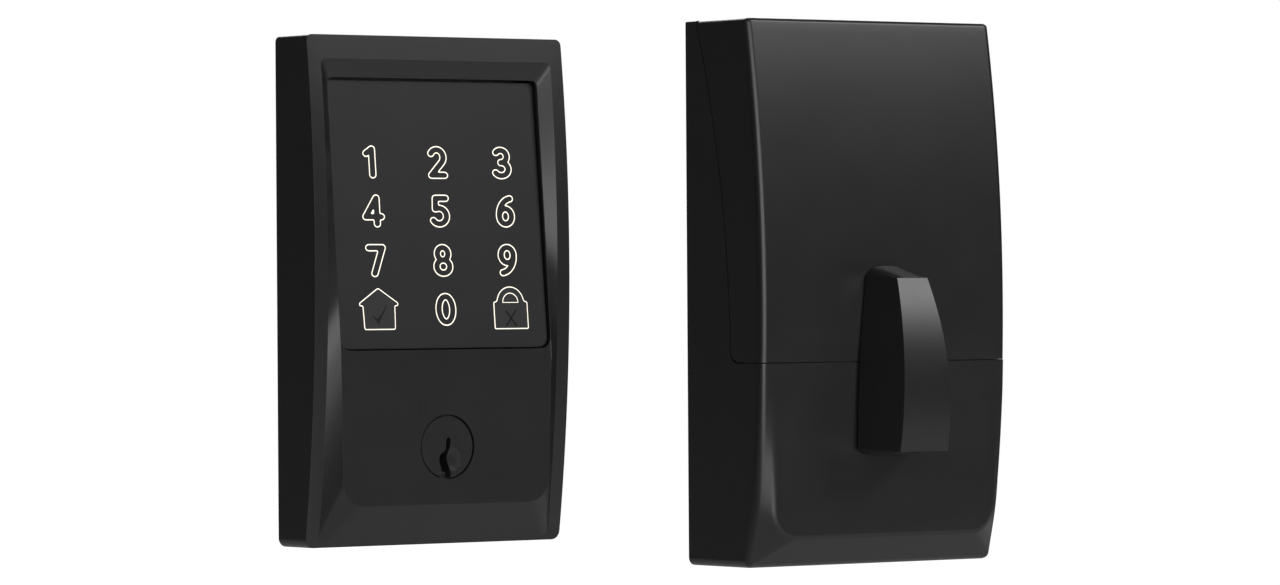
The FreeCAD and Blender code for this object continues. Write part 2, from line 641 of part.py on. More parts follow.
def plates():
    both = ("-bolt_half_spacing", "bolt_half_spacing")
    holes = [rod("SupportHubHole", "0", "0", "hub_bearing_radius", THROUGH)]
    holes += [rod(f"SupportBoltHole{i}", x, "0", "bolt_hole_radius", THROUGH) for i, x in enumerate(both)]
    chassis_holes = [rod("ChassisHubHole", "0", "0", "hub_radius + running_gap", ("-1", "12"))]
    chassis_holes += [rod(f"ChassisHeadHole{i}", x, "0", "bolt_head_hole", THROUGH)
                      for i, x in enumerate(both)]
    screws = []
    for i, (x, z) in enumerate(plate_screw_places()):
        holes.append(rod(f"SupportScrewHole{i}", x, z, "screw_shank_radius", THROUGH))
        chassis_holes.append(rod(f"ChassisScrewHole{i}", x, z, "screw_shank_radius + running_gap", THROUGH))
        head = rod(f"PlateScrewHead{i}", x, z, "screw_head_radius", ("4", "5.2"))
        shank = rod(f"PlateScrewShank{i}", x, z, "screw_shank_radius", ("0.3", "4"))
        screws.append(joined(f"PlateScrew{i}", [head, shank]))
    plate = block("SupportBlank", ("-support_half_width", "support_half_width"), ("0", "support_gauge"),
                  ("-support_half_height", "support_half_height"))
    node(cut("SupportPlate", plate, holes), "support_plate", inside=True)
    node(group("PlateScrews", screws), "plate_screws", inside=True)
    floor = block("ChassisFloor", ("-chassis_half_width", "chassis_half_width"),
                  ("support_gauge", "support_gauge + chassis_gauge"),
                  ("chassis_bottom", "chassis_top"))
    bearing = rod("HubBearing", "0", "0", "hub_bearing_radius", ("3", "hub_bearing_front"))
    standing = posts("BridgePost", BRIDGE_POSTS, "bridge_post_radius", "bridge_back")
    standing += posts("BoardPost", BOARD_POSTS, "post_pin_radius", "main_board_back")
    standing += posts("DeckPost", DECK_POSTS, "post_pin_radius", "deck_depth")
    for i, (x, z) in enumerate(HOUSING_SCREWS):
        chassis_holes.append(rod(f"ChassisHousingHole{i}", x, z, "screw_shank_radius + running_gap", THROUGH))
    solid = joined("ChassisSolid", [floor, bearing] + standing)
    node(cut("Chassis", solid, chassis_holes), "inside_chassis", inside=True)
    screws = []
    for i, (x, z) in enumerate(HOUSING_SCREWS):
        head = rod(f"HousingScrewHead{i}", x, z, "screw_head_radius", ("0.8", "2"))
        shank = rod(f"HousingScrewShank{i}", x, z, "screw_shank_radius", ("2", "10"))
        screws.append(joined(f"HousingScrew{i}", [head, shank]))
    node(group("HousingScrews", screws), "housing_screws", inside=True)
    bolts = []
    for i, x in enumerate(both):
        head = rod(f"BoltHead{i}", x, "0", "bolt_head_radius", ("support_gauge", "bolt_head_front"))
        socket = rod(f"BoltSocket{i}", x, "0", "bolt_socket_radius", ("3", "6"))
        shank = rod(f"BoltShank{i}", x, "0", "bolt_radius", ("-bolt_reach", "support_gauge"))
        bolts.append(cut(f"Bolt{i}", joined(f"BoltSolid{i}", [head, shank]), [socket]))
    node(group("ThroughBolts", bolts), "through_bolts", inside=True)


def deck():
    """The plate under the battery cover that hides the gears and the board."""
    span = ("deck_depth", "deck_depth + deck_gauge")
    plate = block("DeckBlank", ("-deck_half_width", "deck_half_width"), span, ("deck_bottom", "deck_top"))
    holes = [
        rod("DeckNeckHole", "0", "0", "hub_radius + 0.6", ("15", "25")),
        rod("DeckButtonHole", "button_x", "button_z", "button_radius + running_gap", ("15", "25")),
    ]
    node(cut("Deck", plate, holes), "electronics_cover", inside=True)


# ---- inside half: turn hub, thumbturn and gears ----------------------------------------------


def pitch_radius(teeth):
    return f"(gear_module * {teeth} / 2)"


def gear(name, teeth, bore, back, front):
    """A spur gear body standing on its own axis, tooth one along +X."""
    count = int(size(teeth))
    pitch = pitch_radius(teeth)
    body = doc.addObject("PartDesign::Body", name)
    root = body.newObject("Sketcher::SketchObject", name + "Root")
    root.AttachmentSupport = (origin_plane(body, "XZ_Plane"), [""])
    root.MapMode = "FlatFace"
    for radius in (f"{pitch} - 1.2 * gear_module", bore):
        circle = root.addGeometry(Part.Circle(Vector(), Vector(0, 0, 1), worth(radius)))
        root.addConstraint(Sketcher.Constraint("Coincident", circle, 3, -1, 1))
        number = root.addConstraint(Sketcher.Constraint("Radius", circle, worth(radius)))
        root.setExpression(f"Constraints[{number}]", formula(radius))
    disc = body.newObject("PartDesign::Pad", name + "Disc")
    disc.Profile = root
    bind(disc, "Length", f"{front} - {back}")
    doc.recompute()
    tooth_sketch = outline(body, name + "ToothOutline", "XZ_Plane", [
        (f"{pitch} - 1.4 * gear_module", "-0.85 * gear_module"),
        (f"{pitch} + 0.8 * gear_module", "-0.26 * gear_module"),
        (f"{pitch} + 0.8 * gear_module", "0.26 * gear_module"),
        (f"{pitch} - 1.4 * gear_module", "0.85 * gear_module"),
    ])
    tooth = body.newObject("PartDesign::Pad", name + "Tooth")
    tooth.Profile = tooth_sketch
    bind(tooth, "Length", f"{front} - {back}")
    doc.recompute()
    ring = body.newObject("PartDesign::PolarPattern", name + "Teeth")
    ring.Originals = [tooth]
    ring.Axis = (origin_plane(body, "Y_Axis"), [""])
    ring.Angle = 360
    ring.Occurrences = count
    body.Tip = ring
    doc.recompute()
    return body


def stand(body, x, z, back, turn):
    """Puts a gear on its axis, turned towards the gear it meshes with."""
    body.Placement = Placement(Vector(), Rotation(Vector(0, -1, 0), turn))
    bind(body, "Placement.Base.x", f"half_spacing + {x}")
    bind(body, "Placement.Base.y", f"-({back})")
    bind(body, "Placement.Base.z", f"turn_axis_height + {z}")
    return body


IDLER_REACH = "(gear_module * (output_teeth + idler_small_teeth) / 2)"
MOTOR_REACH = "(gear_module * (idler_large_teeth + pinion_teeth) / 2)"
IDLER_X = f"({IDLER_REACH} * cos(idler_angle * 1 deg))"
IDLER_Z = f"({IDLER_REACH} * sin(idler_angle * 1 deg))"
MOTOR_X = f"({IDLER_X} + {MOTOR_REACH} * cos(motor_angle * 1 deg))"
MOTOR_Z = f"({IDLER_Z} + {MOTOR_REACH} * sin(motor_angle * 1 deg))"


def gear_train():
    towards_idler, towards_motor = size("idler_angle"), size("motor_angle")
    output = gear("OutputGear", "output_teeth", "hub_radius", "output_back", "output_front")
    node(stand(output, "0", "0", "output_back", towards_idler), "output_gear")
    bore = "shaft_radius + running_gap"
    half_tooth = 180 / size("idler_small_teeth")
    small = gear("IdlerSmall", "idler_small_teeth", bore, "small_back", "small_front")
    stand(small, IDLER_X, IDLER_Z, "small_back", towards_idler + 180 + half_tooth)
    large = gear("IdlerLarge", "idler_large_teeth", bore, "large_back", "large_front")
    stand(large, IDLER_X, IDLER_Z, "large_back", towards_motor)
    x, z = f"half_spacing + {IDLER_X}", f"turn_axis_height + {IDLER_Z}"
    sleeve = rod("IdlerSleeve", x, z, "3.2", ("small_front - 0.5", "large_back + 0.5"))
    sleeve_bore = rod("IdlerSleeveBore", x, z, bore, ("8", "20"))
    hub = cut("IdlerHub", sleeve, [sleeve_bore])
    node(joined("IdlerGear", [small, large, hub]), "idler_gear")
    along = ("support_gauge + chassis_gauge", "bridge_front")
    node(rod("IdlerShaft", x, z, "shaft_radius", along), "idler_shaft")
    pinion = gear("PinionBlank", "pinion_teeth", "motor_shaft_radius", "pinion_back", "pinion_front")
    half_tooth = 180 / size("pinion_teeth")
    stand(pinion, MOTOR_X, MOTOR_Z, "pinion_back", towards_motor + 180 + half_tooth)
    x, z = f"half_spacing + {MOTOR_X}", f"turn_axis_height + {MOTOR_Z}"
    spindle = rod("MotorSpindle", x, z, "motor_shaft_radius", ("motor_front - 6", "pinion_front + 0.3"))
    node(joined("MotorPinion", [pinion, spindle]), "motor_pinion")


def gearbox():
    can = rod("MotorCan", MOTOR_X, MOTOR_Z, "motor_radius", ("motor_back", "motor_front"))
    spindle_bore = rod("MotorBore", MOTOR_X, MOTOR_Z, "motor_shaft_radius + running_gap",
                       ("motor_front - 6.5", "motor_front + 1"))
    node(cut("DriveMotor", can, [spindle_bore]), "drive_motor", inside=True)
    plate = block("BridgeBlank", ("-33", "-2.6"), ("bridge_back", "bridge_front"), ("-34", "-0.8"))
    relief = rod("BridgeHubRelief", "0", "0", "hub_radius + 1.5", ("15", "25"))
    shaft_hole = rod("BridgeShaftHole", IDLER_X, IDLER_Z, "shaft_radius", ("15", "25"))
    node(cut("GearboxBridge", plate, [relief, shaft_hole]), "gearbox_bridge", inside=True)
    screws = [rod(f"BridgeScrew{i}", x, z, "2.2", ("bridge_front", "bridge_front + 1.2"))
              for i, (x, z) in enumerate(BRIDGE_POSTS)]
    node(group("BridgeScrews", screws), "bridge_screws", inside=True)


def turn_hub():
    stem = rod("HubStem", "0", "0", "hub_radius", ("0.6", "hub_front"))
    flange = rod("HubFlange", "0", "0", "hub_flange_radius", ("0.6", "1.8"))
    slot = block("TailSlot", ("-slot_width / 2", "slot_width / 2"), ("-1", "slot_front"),
                 ("-slot_height / 2", "slot_height / 2"))
    node(cut("TurnHub", joined("HubSolid", [stem, flange]), [slot]), "turn_hub", inside=True)
    ring = rod("RingBlank", "0", "0", "hub_bearing_radius", ("hub_bearing_front + 0.3", "output_back - 0.4"))
    ring_bore = rod("RingBore", "0", "0", "hub_radius", ("5", "15"))
    node(cut("HubRing", ring, [ring_bore]), "hub_retaining_ring", inside=True)


def thumbturn():
    """A lever with round ends about the turn axis, narrow above, wide below, bowed in front."""
    reach, side = "lever_radius", "lever_side_radius"
    top_rise = "sqrt(lever_radius ^ 2 - lever_top_half ^ 2)"
    foot_drop = "-sqrt(lever_radius ^ 2 - lever_foot_half ^ 2)"
    face = padded_outline("LeverFace", "XZ_Plane", [
        ("-lever_foot_half", foot_drop), ("lever_foot_half", foot_drop),
        ("lever_top_half", top_rise), ("-lever_top_half", top_rise),
    ], "30", {0: (1, reach), 1: (1, side), 2: (1, reach), 3: (1, side)}, lift="lever_back")
    side = side_slab("LeverSide", [
        ("lever_back", "-lever_radius - 1"), ("lever_front_foot", "-lever_radius - 1"),
        ("lever_front_top", "lever_radius + 1"), ("lever_back", "lever_radius + 1"),
    ], "40", {1: (-1, "lever_front_radius")})
    node(common("Thumbturn", [face, side]), "thumbturn", inside=True)


# ---- inside half: batteries -------------------------------------------------------------------

CELL_COLUMNS = (-1.5, -0.5, 0.5, 1.5)


def batteries():
    floor = "support_gauge + chassis_gauge"
    blank = block("TrayBlank", ("-tray_half_width", "tray_half_width"), (floor, "cell_depth + 6"),
                  ("tray_foot", "tray_top"))
    inner = ("tray_foot + tray_end_wall", "tray_top - tray_end_wall")
    cuts = [block("TrayBay", ("-tray_half_width + 1.4", "tray_half_width - 1.4"),
                  ("cell_depth - 3", "cell_depth + 7"), inner)]
    cells, contacts = [], []
    for i, column in enumerate(CELL_COLUMNS):
        x = f"{column} * cell_pitch"
        cuts.append(upright(f"Cradle{i}", x, "cell_depth", "cell_radius + 0.15", inner))
        up = i % 2 == 0
        low, high = ("33.4", "33.4 + cell_length"), ("32.6", "32.6 + cell_length")
        span = high if up else low
        can = upright(f"Cell{i}", x, "cell_depth", "cell_radius", span)
        nub_span = (span[1], f"{span[1]} + nub_length") if up else (f"{span[0]} - nub_length", span[0])
        nub = upright(f"Nub{i}", x, "cell_depth", "nub_radius", nub_span)
        cells.append(joined(f"BatteryCell{i}", [can, nub]))
        for end, z in (("Low", (inner[0], f"{inner[0]} + contact_gauge")),
                       ("High", (f"{inner[1]} - contact_gauge", inner[1]))):
            contacts.append(block(f"Contact{end}{i}", (f"{x} - 4.5", f"{x} + 4.5"),
                                  ("cell_depth - 2.8", "cell_depth + 5"), z))
    node(cut("BatteryTray", blank, cuts), "battery_tray", inside=True)
    node(group("BatteryCells", cells), "battery_cells", inside=True)
    node(group("BatteryContacts", contacts), "battery_contacts", inside=True)


# ---- inside half: electronics and button --------------------------------------------------------


def electronics():
    span = ("main_board_back", "main_board_front")
    tall = block("BoardTall", ("17.6", "37.6"), span, ("-40", "27"))
    leg = block("BoardLeg", ("0", "27"), span, ("-48", "-36"))
    node(joined("MainBoard", [tall, leg]), "main_circuit_board", inside=True)
    can = block("WirelessCan", ("20", "34"), ("main_board_front", "10.2"), ("-31", "-12"))
    node(can, "wireless_module", inside=True)
    sounder = rod("SounderCan", "buzzer_x", "buzzer_z", "5.5", ("main_board_front", "12"))
    sound_hole = rod("SounderHole", "buzzer_x", "buzzer_z", "1", ("10", "13"))
    node(cut("Sounder", sounder, [sound_hole]), "buzzer", inside=True)
    socket = block("SocketBody", ("19.5", "27.5"), ("main_board_front", "13"), ("-8", "-2"))
    mouth = block("SocketMouth", ("20.3", "26.7"), ("9.6", "14"), ("-7.2", "-2.8"))
    node(cut("CableSocket", socket, [mouth]), "cable_socket", inside=True)
    node(block("PositionSensor", ("5", "14"), ("support_gauge + chassis_gauge", "9.6"), ("-27", "-20")),
         "position_sensor", inside=True)
    node(block("SwitchBody", ("button_x - 3", "button_x + 3"), ("main_board_front", "11.1"),
               ("button_z - 3", "button_z + 3")), "button_switch", inside=True)
    stem = rod("ButtonStem", "button_x", "button_z", "button_radius", ("button_back", "button_front"))
    collar = rod("ButtonCollar", "button_x", "button_z", "button_collar_radius",
                 ("deck_depth - 1.6", "deck_depth - 0.3"))
    node(joined("ProgramButton", [stem, collar]), "program_button", inside=True)


def main():
    outside_housing()
    touchscreen()
    legend_lights()
    key_cylinder()
    key_plug()
    tail()
    outside_back()
    inside_housing()
    battery_cover()
    plates()
    deck()
    gear_train()
    gearbox()
    turn_hub()
    thumbturn()
    batteries()
    electronics()
    doc.recompute()


def check_and_write():
    """Stops on any failed feature or bad solid, then writes one STEP file per sub-part."""
    for thing in doc.Objects:
        if "Invalid" in thing.State or "Error" in thing.State:
            raise RuntimeError(f"{thing.Name} failed: {thing.State}")
    for thing in nodes:
        if thing.Shape.isNull() or not thing.Shape.isValid():
            raise RuntimeError(f"{thing.Label} has no valid shape")
    os.makedirs("parts", exist_ok=True)
    for thing in nodes:
        thing.Shape.exportStep(f"parts/{thing.Label}.step")
    print(len(nodes), "sub-parts written")


main()
check_and_write()
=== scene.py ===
import bmesh
import bpy
import json
import math
from mathutils import Matrix, Vector


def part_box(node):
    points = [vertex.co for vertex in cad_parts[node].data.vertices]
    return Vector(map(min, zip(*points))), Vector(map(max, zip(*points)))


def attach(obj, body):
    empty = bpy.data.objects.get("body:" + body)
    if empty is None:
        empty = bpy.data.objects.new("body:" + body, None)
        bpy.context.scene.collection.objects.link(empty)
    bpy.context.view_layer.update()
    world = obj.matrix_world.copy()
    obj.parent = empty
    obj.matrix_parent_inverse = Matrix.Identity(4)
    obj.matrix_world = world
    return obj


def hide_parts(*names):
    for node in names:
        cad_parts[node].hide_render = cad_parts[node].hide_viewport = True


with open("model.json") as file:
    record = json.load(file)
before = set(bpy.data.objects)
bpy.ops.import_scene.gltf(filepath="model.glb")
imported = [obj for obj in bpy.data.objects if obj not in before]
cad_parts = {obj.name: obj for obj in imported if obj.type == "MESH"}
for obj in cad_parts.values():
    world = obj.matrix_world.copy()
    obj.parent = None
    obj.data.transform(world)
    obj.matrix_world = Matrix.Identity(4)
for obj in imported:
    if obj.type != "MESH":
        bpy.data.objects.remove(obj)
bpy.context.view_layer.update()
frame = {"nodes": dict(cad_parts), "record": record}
nodes = frame["nodes"]
MM = 0.001

# Everything is drawn in millimetres as (x, depth, z): depth is the distance in front of the door
# face, so y = -depth. The keypad half is drawn about its key axis, the battery half about its
# thumbturn axis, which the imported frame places.


def middle(node):
    low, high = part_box(node)
    return (low + high) / 2 / MM


TURN_X, TURN_Z = middle("turn_hub").x, middle("turn_hub").z
out_low, out_high = (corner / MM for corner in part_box("outside_housing"))
in_low, in_high = (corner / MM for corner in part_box("inside_housing"))
OUT_HALF, OUT_TOP, OUT_FOOT = out_high.x, out_high.z, out_low.z
IN_HALF = (in_high.x - in_low.x) / 2
IN_TOP, IN_FOOT = in_high.z - TURN_Z, in_low.z - TURN_Z


# ---- mesh helpers ---------------------------------------------------------------------------


def to_world(point, inside=False):
    x, depth, z = point
    if inside:
        x, z = x + TURN_X, z + TURN_Z
    return Vector((x, -depth, z)) * MM


WIDEST = 2.0                            # the widest rounded edge, which edge weights are shares of
ROUND_SIDES = 96                        # points round a bore, a plug or a collar


def new_piece(name, points, faces, inside=False, weights=None):
    """A mesh from millimetre points; weights maps a pair of point numbers to a bevel width in mm."""
    mesh = bpy.data.meshes.new(name)
    mesh.from_pydata([to_world(p, inside) for p in points], [], faces)
    mesh.validate()
    tidy = bmesh.new()
    tidy.from_mesh(mesh)
    bmesh.ops.recalc_face_normals(tidy, faces=tidy.faces)
    tidy.to_mesh(mesh)
    tidy.free()
    if weights:
        layer = mesh.attributes.new("bevel_weight_edge", "FLOAT", "EDGE")
        for edge in mesh.edges:
            layer.data[edge.index].value = weights.get(frozenset(edge.vertices), 0.0) / WIDEST
    piece = bpy.data.objects.new(name, mesh)
    bpy.context.scene.collection.objects.link(piece)
    return piece


def soften(piece, segments=4):
    """Rounds the weighted edges, each by its own width."""
    bevel = piece.modifiers.new("RoundedEdges", "BEVEL")
    bevel.limit_method = "WEIGHT"
    bevel.width = WIDEST * MM
    bevel.segments = segments
    bevel.harden_normals = False
    bevel.use_clamp_overlap = True
    return piece


def ease(piece, width, segments=2, angle=50):
    """Takes the sharpness off every edge above an angle."""
    bevel = piece.modifiers.new("EasedEdges", "BEVEL")
    bevel.limit_method = "ANGLE"
    bevel.angle_limit = math.radians(angle)
    bevel.width = width * MM
    bevel.segments = segments
    return piece


def bake(piece, angle=35):
    """Fixes the modifiers into the mesh, shades it smooth up to an angle and evens its normals."""
    graph = bpy.context.evaluated_depsgraph_get()
    mesh = bpy.data.meshes.new_from_object(piece.evaluated_get(graph))
    piece.modifiers.clear()
    piece.data = mesh
    mesh.shade_smooth()
    mesh.set_sharp_from_angle(angle=math.radians(angle))
    even = piece.modifiers.new("EvenNormals", "WEIGHTED_NORMAL")
    even.keep_sharp = True
    return piece


def arc(centre, radius, start, end, steps):
    """Points along an arc in (x, z), degrees from +x towards +z."""
    turns = [math.radians(start + (end - start) * i / steps) for i in range(steps + 1)]
    return [(centre[0] + radius * math.cos(t), centre[1] + radius * math.sin(t)) for t in turns]


def loft(name, rings, widths, inside=False, cap=False):
    """Quads between closed rings of equal length; widths gives a ring's bevel in mm."""
    count = len(rings[0])
    points = [p for ring in rings for p in ring]
    faces, weights = [], {}
    for k in range(len(rings) - 1):
        for i in range(count):
            j = (i + 1) % count
            faces.append((k * count + i, k * count + j, (k + 1) * count + j, (k + 1) * count + i))
    if cap:
        faces.append(tuple(range((len(rings) - 1) * count, len(rings) * count)))
    for k, width in widths.items():
        for i in range(count):
            weights[frozenset((k * count + i, k * count + (i + 1) % count))] = width
    return new_piece(name, points, faces, inside, weights)


def place(piece, body, slot, *replaced):
    """Puts the piece on its body in its slot's finish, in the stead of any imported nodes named."""
    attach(piece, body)
    if replaced:
        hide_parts(*replaced)
    piece.data.materials.clear()
    piece.data.materials.append(finishes[slot])
    return piece


def round_rings(radius_depths, x=0, z=0):
    """A ring of points at each radius and depth, about an axis across the door face."""
    rings = []
    for radius, depth in radius_depths:
        ring = arc((x, z), radius, 0, 360, ROUND_SIDES)[:-1]
        rings.append([(u, depth, v) for u, v in ring])
    return rings


def rod_cutter(radius, back, front, inside=False):
    """A cylinder on a half's own axis, to cut with."""
    rings = round_rings([(radius, back), (radius, front)])
    return closed_up(loft("Cutter", rings, {}, inside))


def cut_away(piece, cutter):
    """Takes the cutter's shape out of the piece and throws the cutter away."""
    cut = piece.modifiers.new("Cut", "BOOLEAN")
    cut.operation = "DIFFERENCE"
    cut.solver = "EXACT"
    cut.object = cutter
    graph = bpy.context.evaluated_depsgraph_get()
    piece.data = bpy.data.meshes.new_from_object(piece.evaluated_get(graph))
    piece.modifiers.clear()
    bpy.data.objects.remove(cutter)
    return piece


# ---- shared shader groups -------------------------------------------------------------------


def shader_group(name, inputs, outputs):
    tree = bpy.data.node_groups.new(name, "ShaderNodeTree")
    for label, kind, value in inputs:
        socket = tree.interface.new_socket(name=label, in_out="INPUT", socket_type=kind)
        socket.default_value = value
    for label, kind in outputs:
        tree.interface.new_socket(name=label, in_out="OUTPUT", socket_type=kind)
    return tree, tree.nodes.new("NodeGroupInput"), tree.nodes.new("NodeGroupOutput")


def math_node(tree, operation, first, second, clamp=False):
    node = tree.nodes.new("ShaderNodeMath")
    node.operation = operation
    node.use_clamp = clamp
    for socket, value in zip(node.inputs, (first, second)):
        if isinstance(value, (int, float)):
            socket.default_value = value
        else:
            tree.links.new(value, socket)
    return node.outputs[0]


def noise(tree, scale, detail=3.0, roughness=0.55):
    """Noise over the object's own space; the scale is in waves per metre."""
    place_node = tree.nodes.new("ShaderNodeTexCoord")
    node = tree.nodes.new("ShaderNodeTexNoise")
    node.inputs["Detail"].default_value = detail
    node.inputs["Roughness"].default_value = roughness
    tree.links.new(place_node.outputs["Object"], node.inputs["Vector"])
    if isinstance(scale, (int, float)):
        node.inputs["Scale"].default_value = scale
    else:
        tree.links.new(scale, node.inputs["Scale"])
    return node.outputs["Fac"]


def surface_grain():
    """Fine grain for bump, and a slow mottle for colour and roughness."""
    tree, given, result = shader_group(
        "SurfaceGrain",
        [("Grain Scale", "NodeSocketFloat", 2500.0), ("Mottle Scale", "NodeSocketFloat", 60.0)],
        [("Height", "NodeSocketFloat"), ("Mottle", "NodeSocketFloat")])
    fine = noise(tree, given.outputs["Grain Scale"], 2.0, 0.6)
    slow = noise(tree, given.outputs["Mottle Scale"], 4.0, 0.6)
    tree.links.new(fine, result.inputs["Height"])
    tree.links.new(slow, result.inputs["Mottle"])
    return tree


EDGE_LEVEL, EDGE_GAIN = 0.505, 14.0      # the pointiness where rubbing starts, and how fast it grows


def edge_rub():
    """A mask that is bright along convex edges, broken up by noise."""
    tree, given, result = shader_group(
        "EdgeRub",
        [("Amount", "NodeSocketFloat", 0.3), ("Breakup Scale", "NodeSocketFloat", 300.0)],
        [("Mask", "NodeSocketFloat")])
    shape = tree.nodes.new("ShaderNodeNewGeometry")
    raised = math_node(tree, "SUBTRACT", shape.outputs["Pointiness"], EDGE_LEVEL)
    sharp = math_node(tree, "MULTIPLY", raised, EDGE_GAIN, clamp=True)
    broken = noise(tree, given.outputs["Breakup Scale"], 4.0, 0.7)
    spread = math_node(tree, "MULTIPLY", sharp, broken)
    mask = math_node(tree, "MULTIPLY", spread, given.outputs["Amount"], clamp=True)
    tree.links.new(mask, result.inputs["Mask"])
    return tree


GRAIN = surface_grain()
RUB = edge_rub()
GRAIN_DEPTH = 0.00005                   # in metres
UNEVEN, GLOW_MOTTLE = 0.82, 220.0       # the dimmest share of a legend's light, and its mottle


def blend_colour(tree, factor, first, second):
    node = tree.nodes.new("ShaderNodeMix")
    node.data_type = "RGBA"
    for socket, value in ((node.inputs[0], factor), (node.inputs[6], first), (node.inputs[7], second)):
        if isinstance(value, (int, float)):
            socket.default_value = value
        elif isinstance(value, tuple):
            socket.default_value = (*value, 1.0)
        else:
            tree.links.new(value, socket)
    return node.outputs[2]


def finish(name, colour, other, roughness, metallic=0.0, grain=2500.0, bump=0.15, mottle=60.0,
           rub=0.2, rub_colour=(0.3, 0.3, 0.3), spread=0.1, specular=0.5, coat=0.0):
    """A painted, moulded or plated surface: two close colours, varied gloss, grain and rubbed edges."""
    material = bpy.data.materials.new(name)
    material.use_nodes = True
    tree = material.node_tree
    shader = tree.nodes["Principled BSDF"]
    grain_node = tree.nodes.new("ShaderNodeGroup")
    grain_node.node_tree = GRAIN
    grain_node.inputs["Grain Scale"].default_value = grain
    grain_node.inputs["Mottle Scale"].default_value = mottle
    rub_node = tree.nodes.new("ShaderNodeGroup")
    rub_node.node_tree = RUB
    rub_node.inputs["Amount"].default_value = rub
    base = blend_colour(tree, grain_node.outputs["Mottle"], colour, other)
    worn = blend_colour(tree, rub_node.outputs["Mask"], base, rub_colour)
    tree.links.new(worn, shader.inputs["Base Color"])
    varied = math_node(tree, "MULTIPLY_ADD", grain_node.outputs["Mottle"], spread)
    varied.node.inputs[2].default_value = roughness - spread / 2
    tree.links.new(varied, shader.inputs["Roughness"])
    shader.inputs["Metallic"].default_value = metallic
    shader.inputs["Specular IOR Level"].default_value = specular
    shader.inputs["Coat Weight"].default_value = coat
    bump_node = tree.nodes.new("ShaderNodeBump")
    bump_node.inputs["Strength"].default_value = bump
    bump_node.inputs["Distance"].default_value = GRAIN_DEPTH
    tree.links.new(grain_node.outputs["Height"], bump_node.inputs["Height"])
    tree.links.new(bump_node.outputs["Normal"], shader.inputs["Normal"])
    return material


def glow(name, colour, strength):
    """Printed legend lit from behind, a little uneven along its lines."""
    material = bpy.data.materials.new(name)
    material.use_nodes = True
    tree = material.node_tree
    shader = tree.nodes["Principled BSDF"]
    slow = noise(tree, GLOW_MOTTLE, 2.0)
    shade = blend_colour(tree, slow, tuple(c * UNEVEN for c in colour), colour)
    tree.links.new(shade, shader.inputs["Emission Color"])
    tree.links.new(shade, shader.inputs["Base Color"])
    shader.inputs["Emission Strength"].default_value = strength
    shader.inputs["Roughness"].default_value = 0.5
    return material


finishes = {
    "black_zinc": finish("BlackPowderCoat", (0.010, 0.010, 0.011), (0.014, 0.014, 0.015), 0.33,
                         grain=3200, bump=0.22, rub=0.10, rub_colour=(0.05, 0.05, 0.05), spread=0.06,
                         specular=0.62),
    "black_glass": finish("BlackGlass", (0.018, 0.018, 0.019), (0.021, 0.021, 0.022), 0.33,
                          grain=900, bump=0.02, rub=0.05, spread=0.04),
    "black_plug": finish("BlackPlug", (0.010, 0.010, 0.011), (0.015, 0.015, 0.016), 0.36, grain=1800,
                         bump=0.12, rub=0.05, rub_colour=(0.16, 0.15, 0.13), spread=0.06),
    "dark_rubber": finish("DarkRubber", (0.012, 0.012, 0.012), (0.022, 0.022, 0.022), 0.8, grain=1500,
                          bump=0.5, rub=0.1),
    "white_diffuser": finish("MilkyDiffuser", (0.78, 0.77, 0.72), (0.84, 0.83, 0.79), 0.5, rub=0.0),
    "circuit_board": finish("CircuitBoard", (0.008, 0.055, 0.028), (0.012, 0.08, 0.04), 0.35, grain=700,
                            bump=0.35, mottle=350, rub=0.3, rub_colour=(0.35, 0.4, 0.2), coat=0.4),
    "led_package": finish("LightPackage", (0.8, 0.77, 0.6), (0.88, 0.86, 0.72), 0.3, rub=0.0),
    "ivory_plastic": finish("IvoryNylon", (0.66, 0.6, 0.46), (0.74, 0.69, 0.55), 0.45, rub=0.1),
    "brass": finish("MachinedBrass", (0.55, 0.39, 0.15), (0.66, 0.49, 0.21), 0.28, 1.0, grain=1400,
                    bump=0.2, rub=0.4, rub_colour=(0.85, 0.7, 0.4)),
    "pin_brass": finish("BrightBrass", (0.6, 0.44, 0.18), (0.72, 0.55, 0.25), 0.2, 1.0, rub=0.3),
    "spring_steel": finish("SpringSteel", (0.42, 0.42, 0.43), (0.55, 0.55, 0.56), 0.28, 1.0, rub=0.3),
    "zinc_plated_steel": finish("ZincPlate", (0.36, 0.37, 0.38), (0.5, 0.5, 0.49), 0.34, 1.0, grain=1600,
                                bump=0.25, mottle=160, rub=0.5, rub_colour=(0.7, 0.7, 0.7), spread=0.2),
    "screw_steel": finish("ScrewSteel", (0.3, 0.3, 0.31), (0.42, 0.42, 0.42), 0.32, 1.0, rub=0.5,
                          rub_colour=(0.65, 0.65, 0.66)),
    "chassis_plastic": finish("ChassisPlastic", (0.02, 0.02, 0.021), (0.03, 0.03, 0.031), 0.5, grain=1500,
                              bump=0.4, rub=0.25, rub_colour=(0.08, 0.08, 0.08)),
    "gear_nylon": finish("GearNylon", (0.68, 0.66, 0.58), (0.76, 0.74, 0.67), 0.4, grain=1200, rub=0.2),
    "motor_can": finish("MotorCan", (0.5, 0.5, 0.51), (0.6, 0.6, 0.61), 0.22, 1.0, grain=1800, rub=0.3),
    "cell_jacket": finish("CellJacket", (0.09, 0.095, 0.10), (0.12, 0.125, 0.13), 0.3, rub=0.1,
                          coat=0.5),
    "shield_can": finish("TinnedCan", (0.55, 0.55, 0.54), (0.68, 0.68, 0.67), 0.3, 1.0, mottle=220, rub=0.3),
    "dark_plastic": finish("DarkPlastic", (0.016, 0.016, 0.017), (0.026, 0.026, 0.027), 0.38, grain=1500,
                           bump=0.3, rub=0.2, rub_colour=(0.07, 0.07, 0.07)),
}
BAND = finish("CellBand", (0.55, 0.22, 0.07), (0.62, 0.27, 0.10), 0.28, 0.6, rub=0.1, coat=0.5)
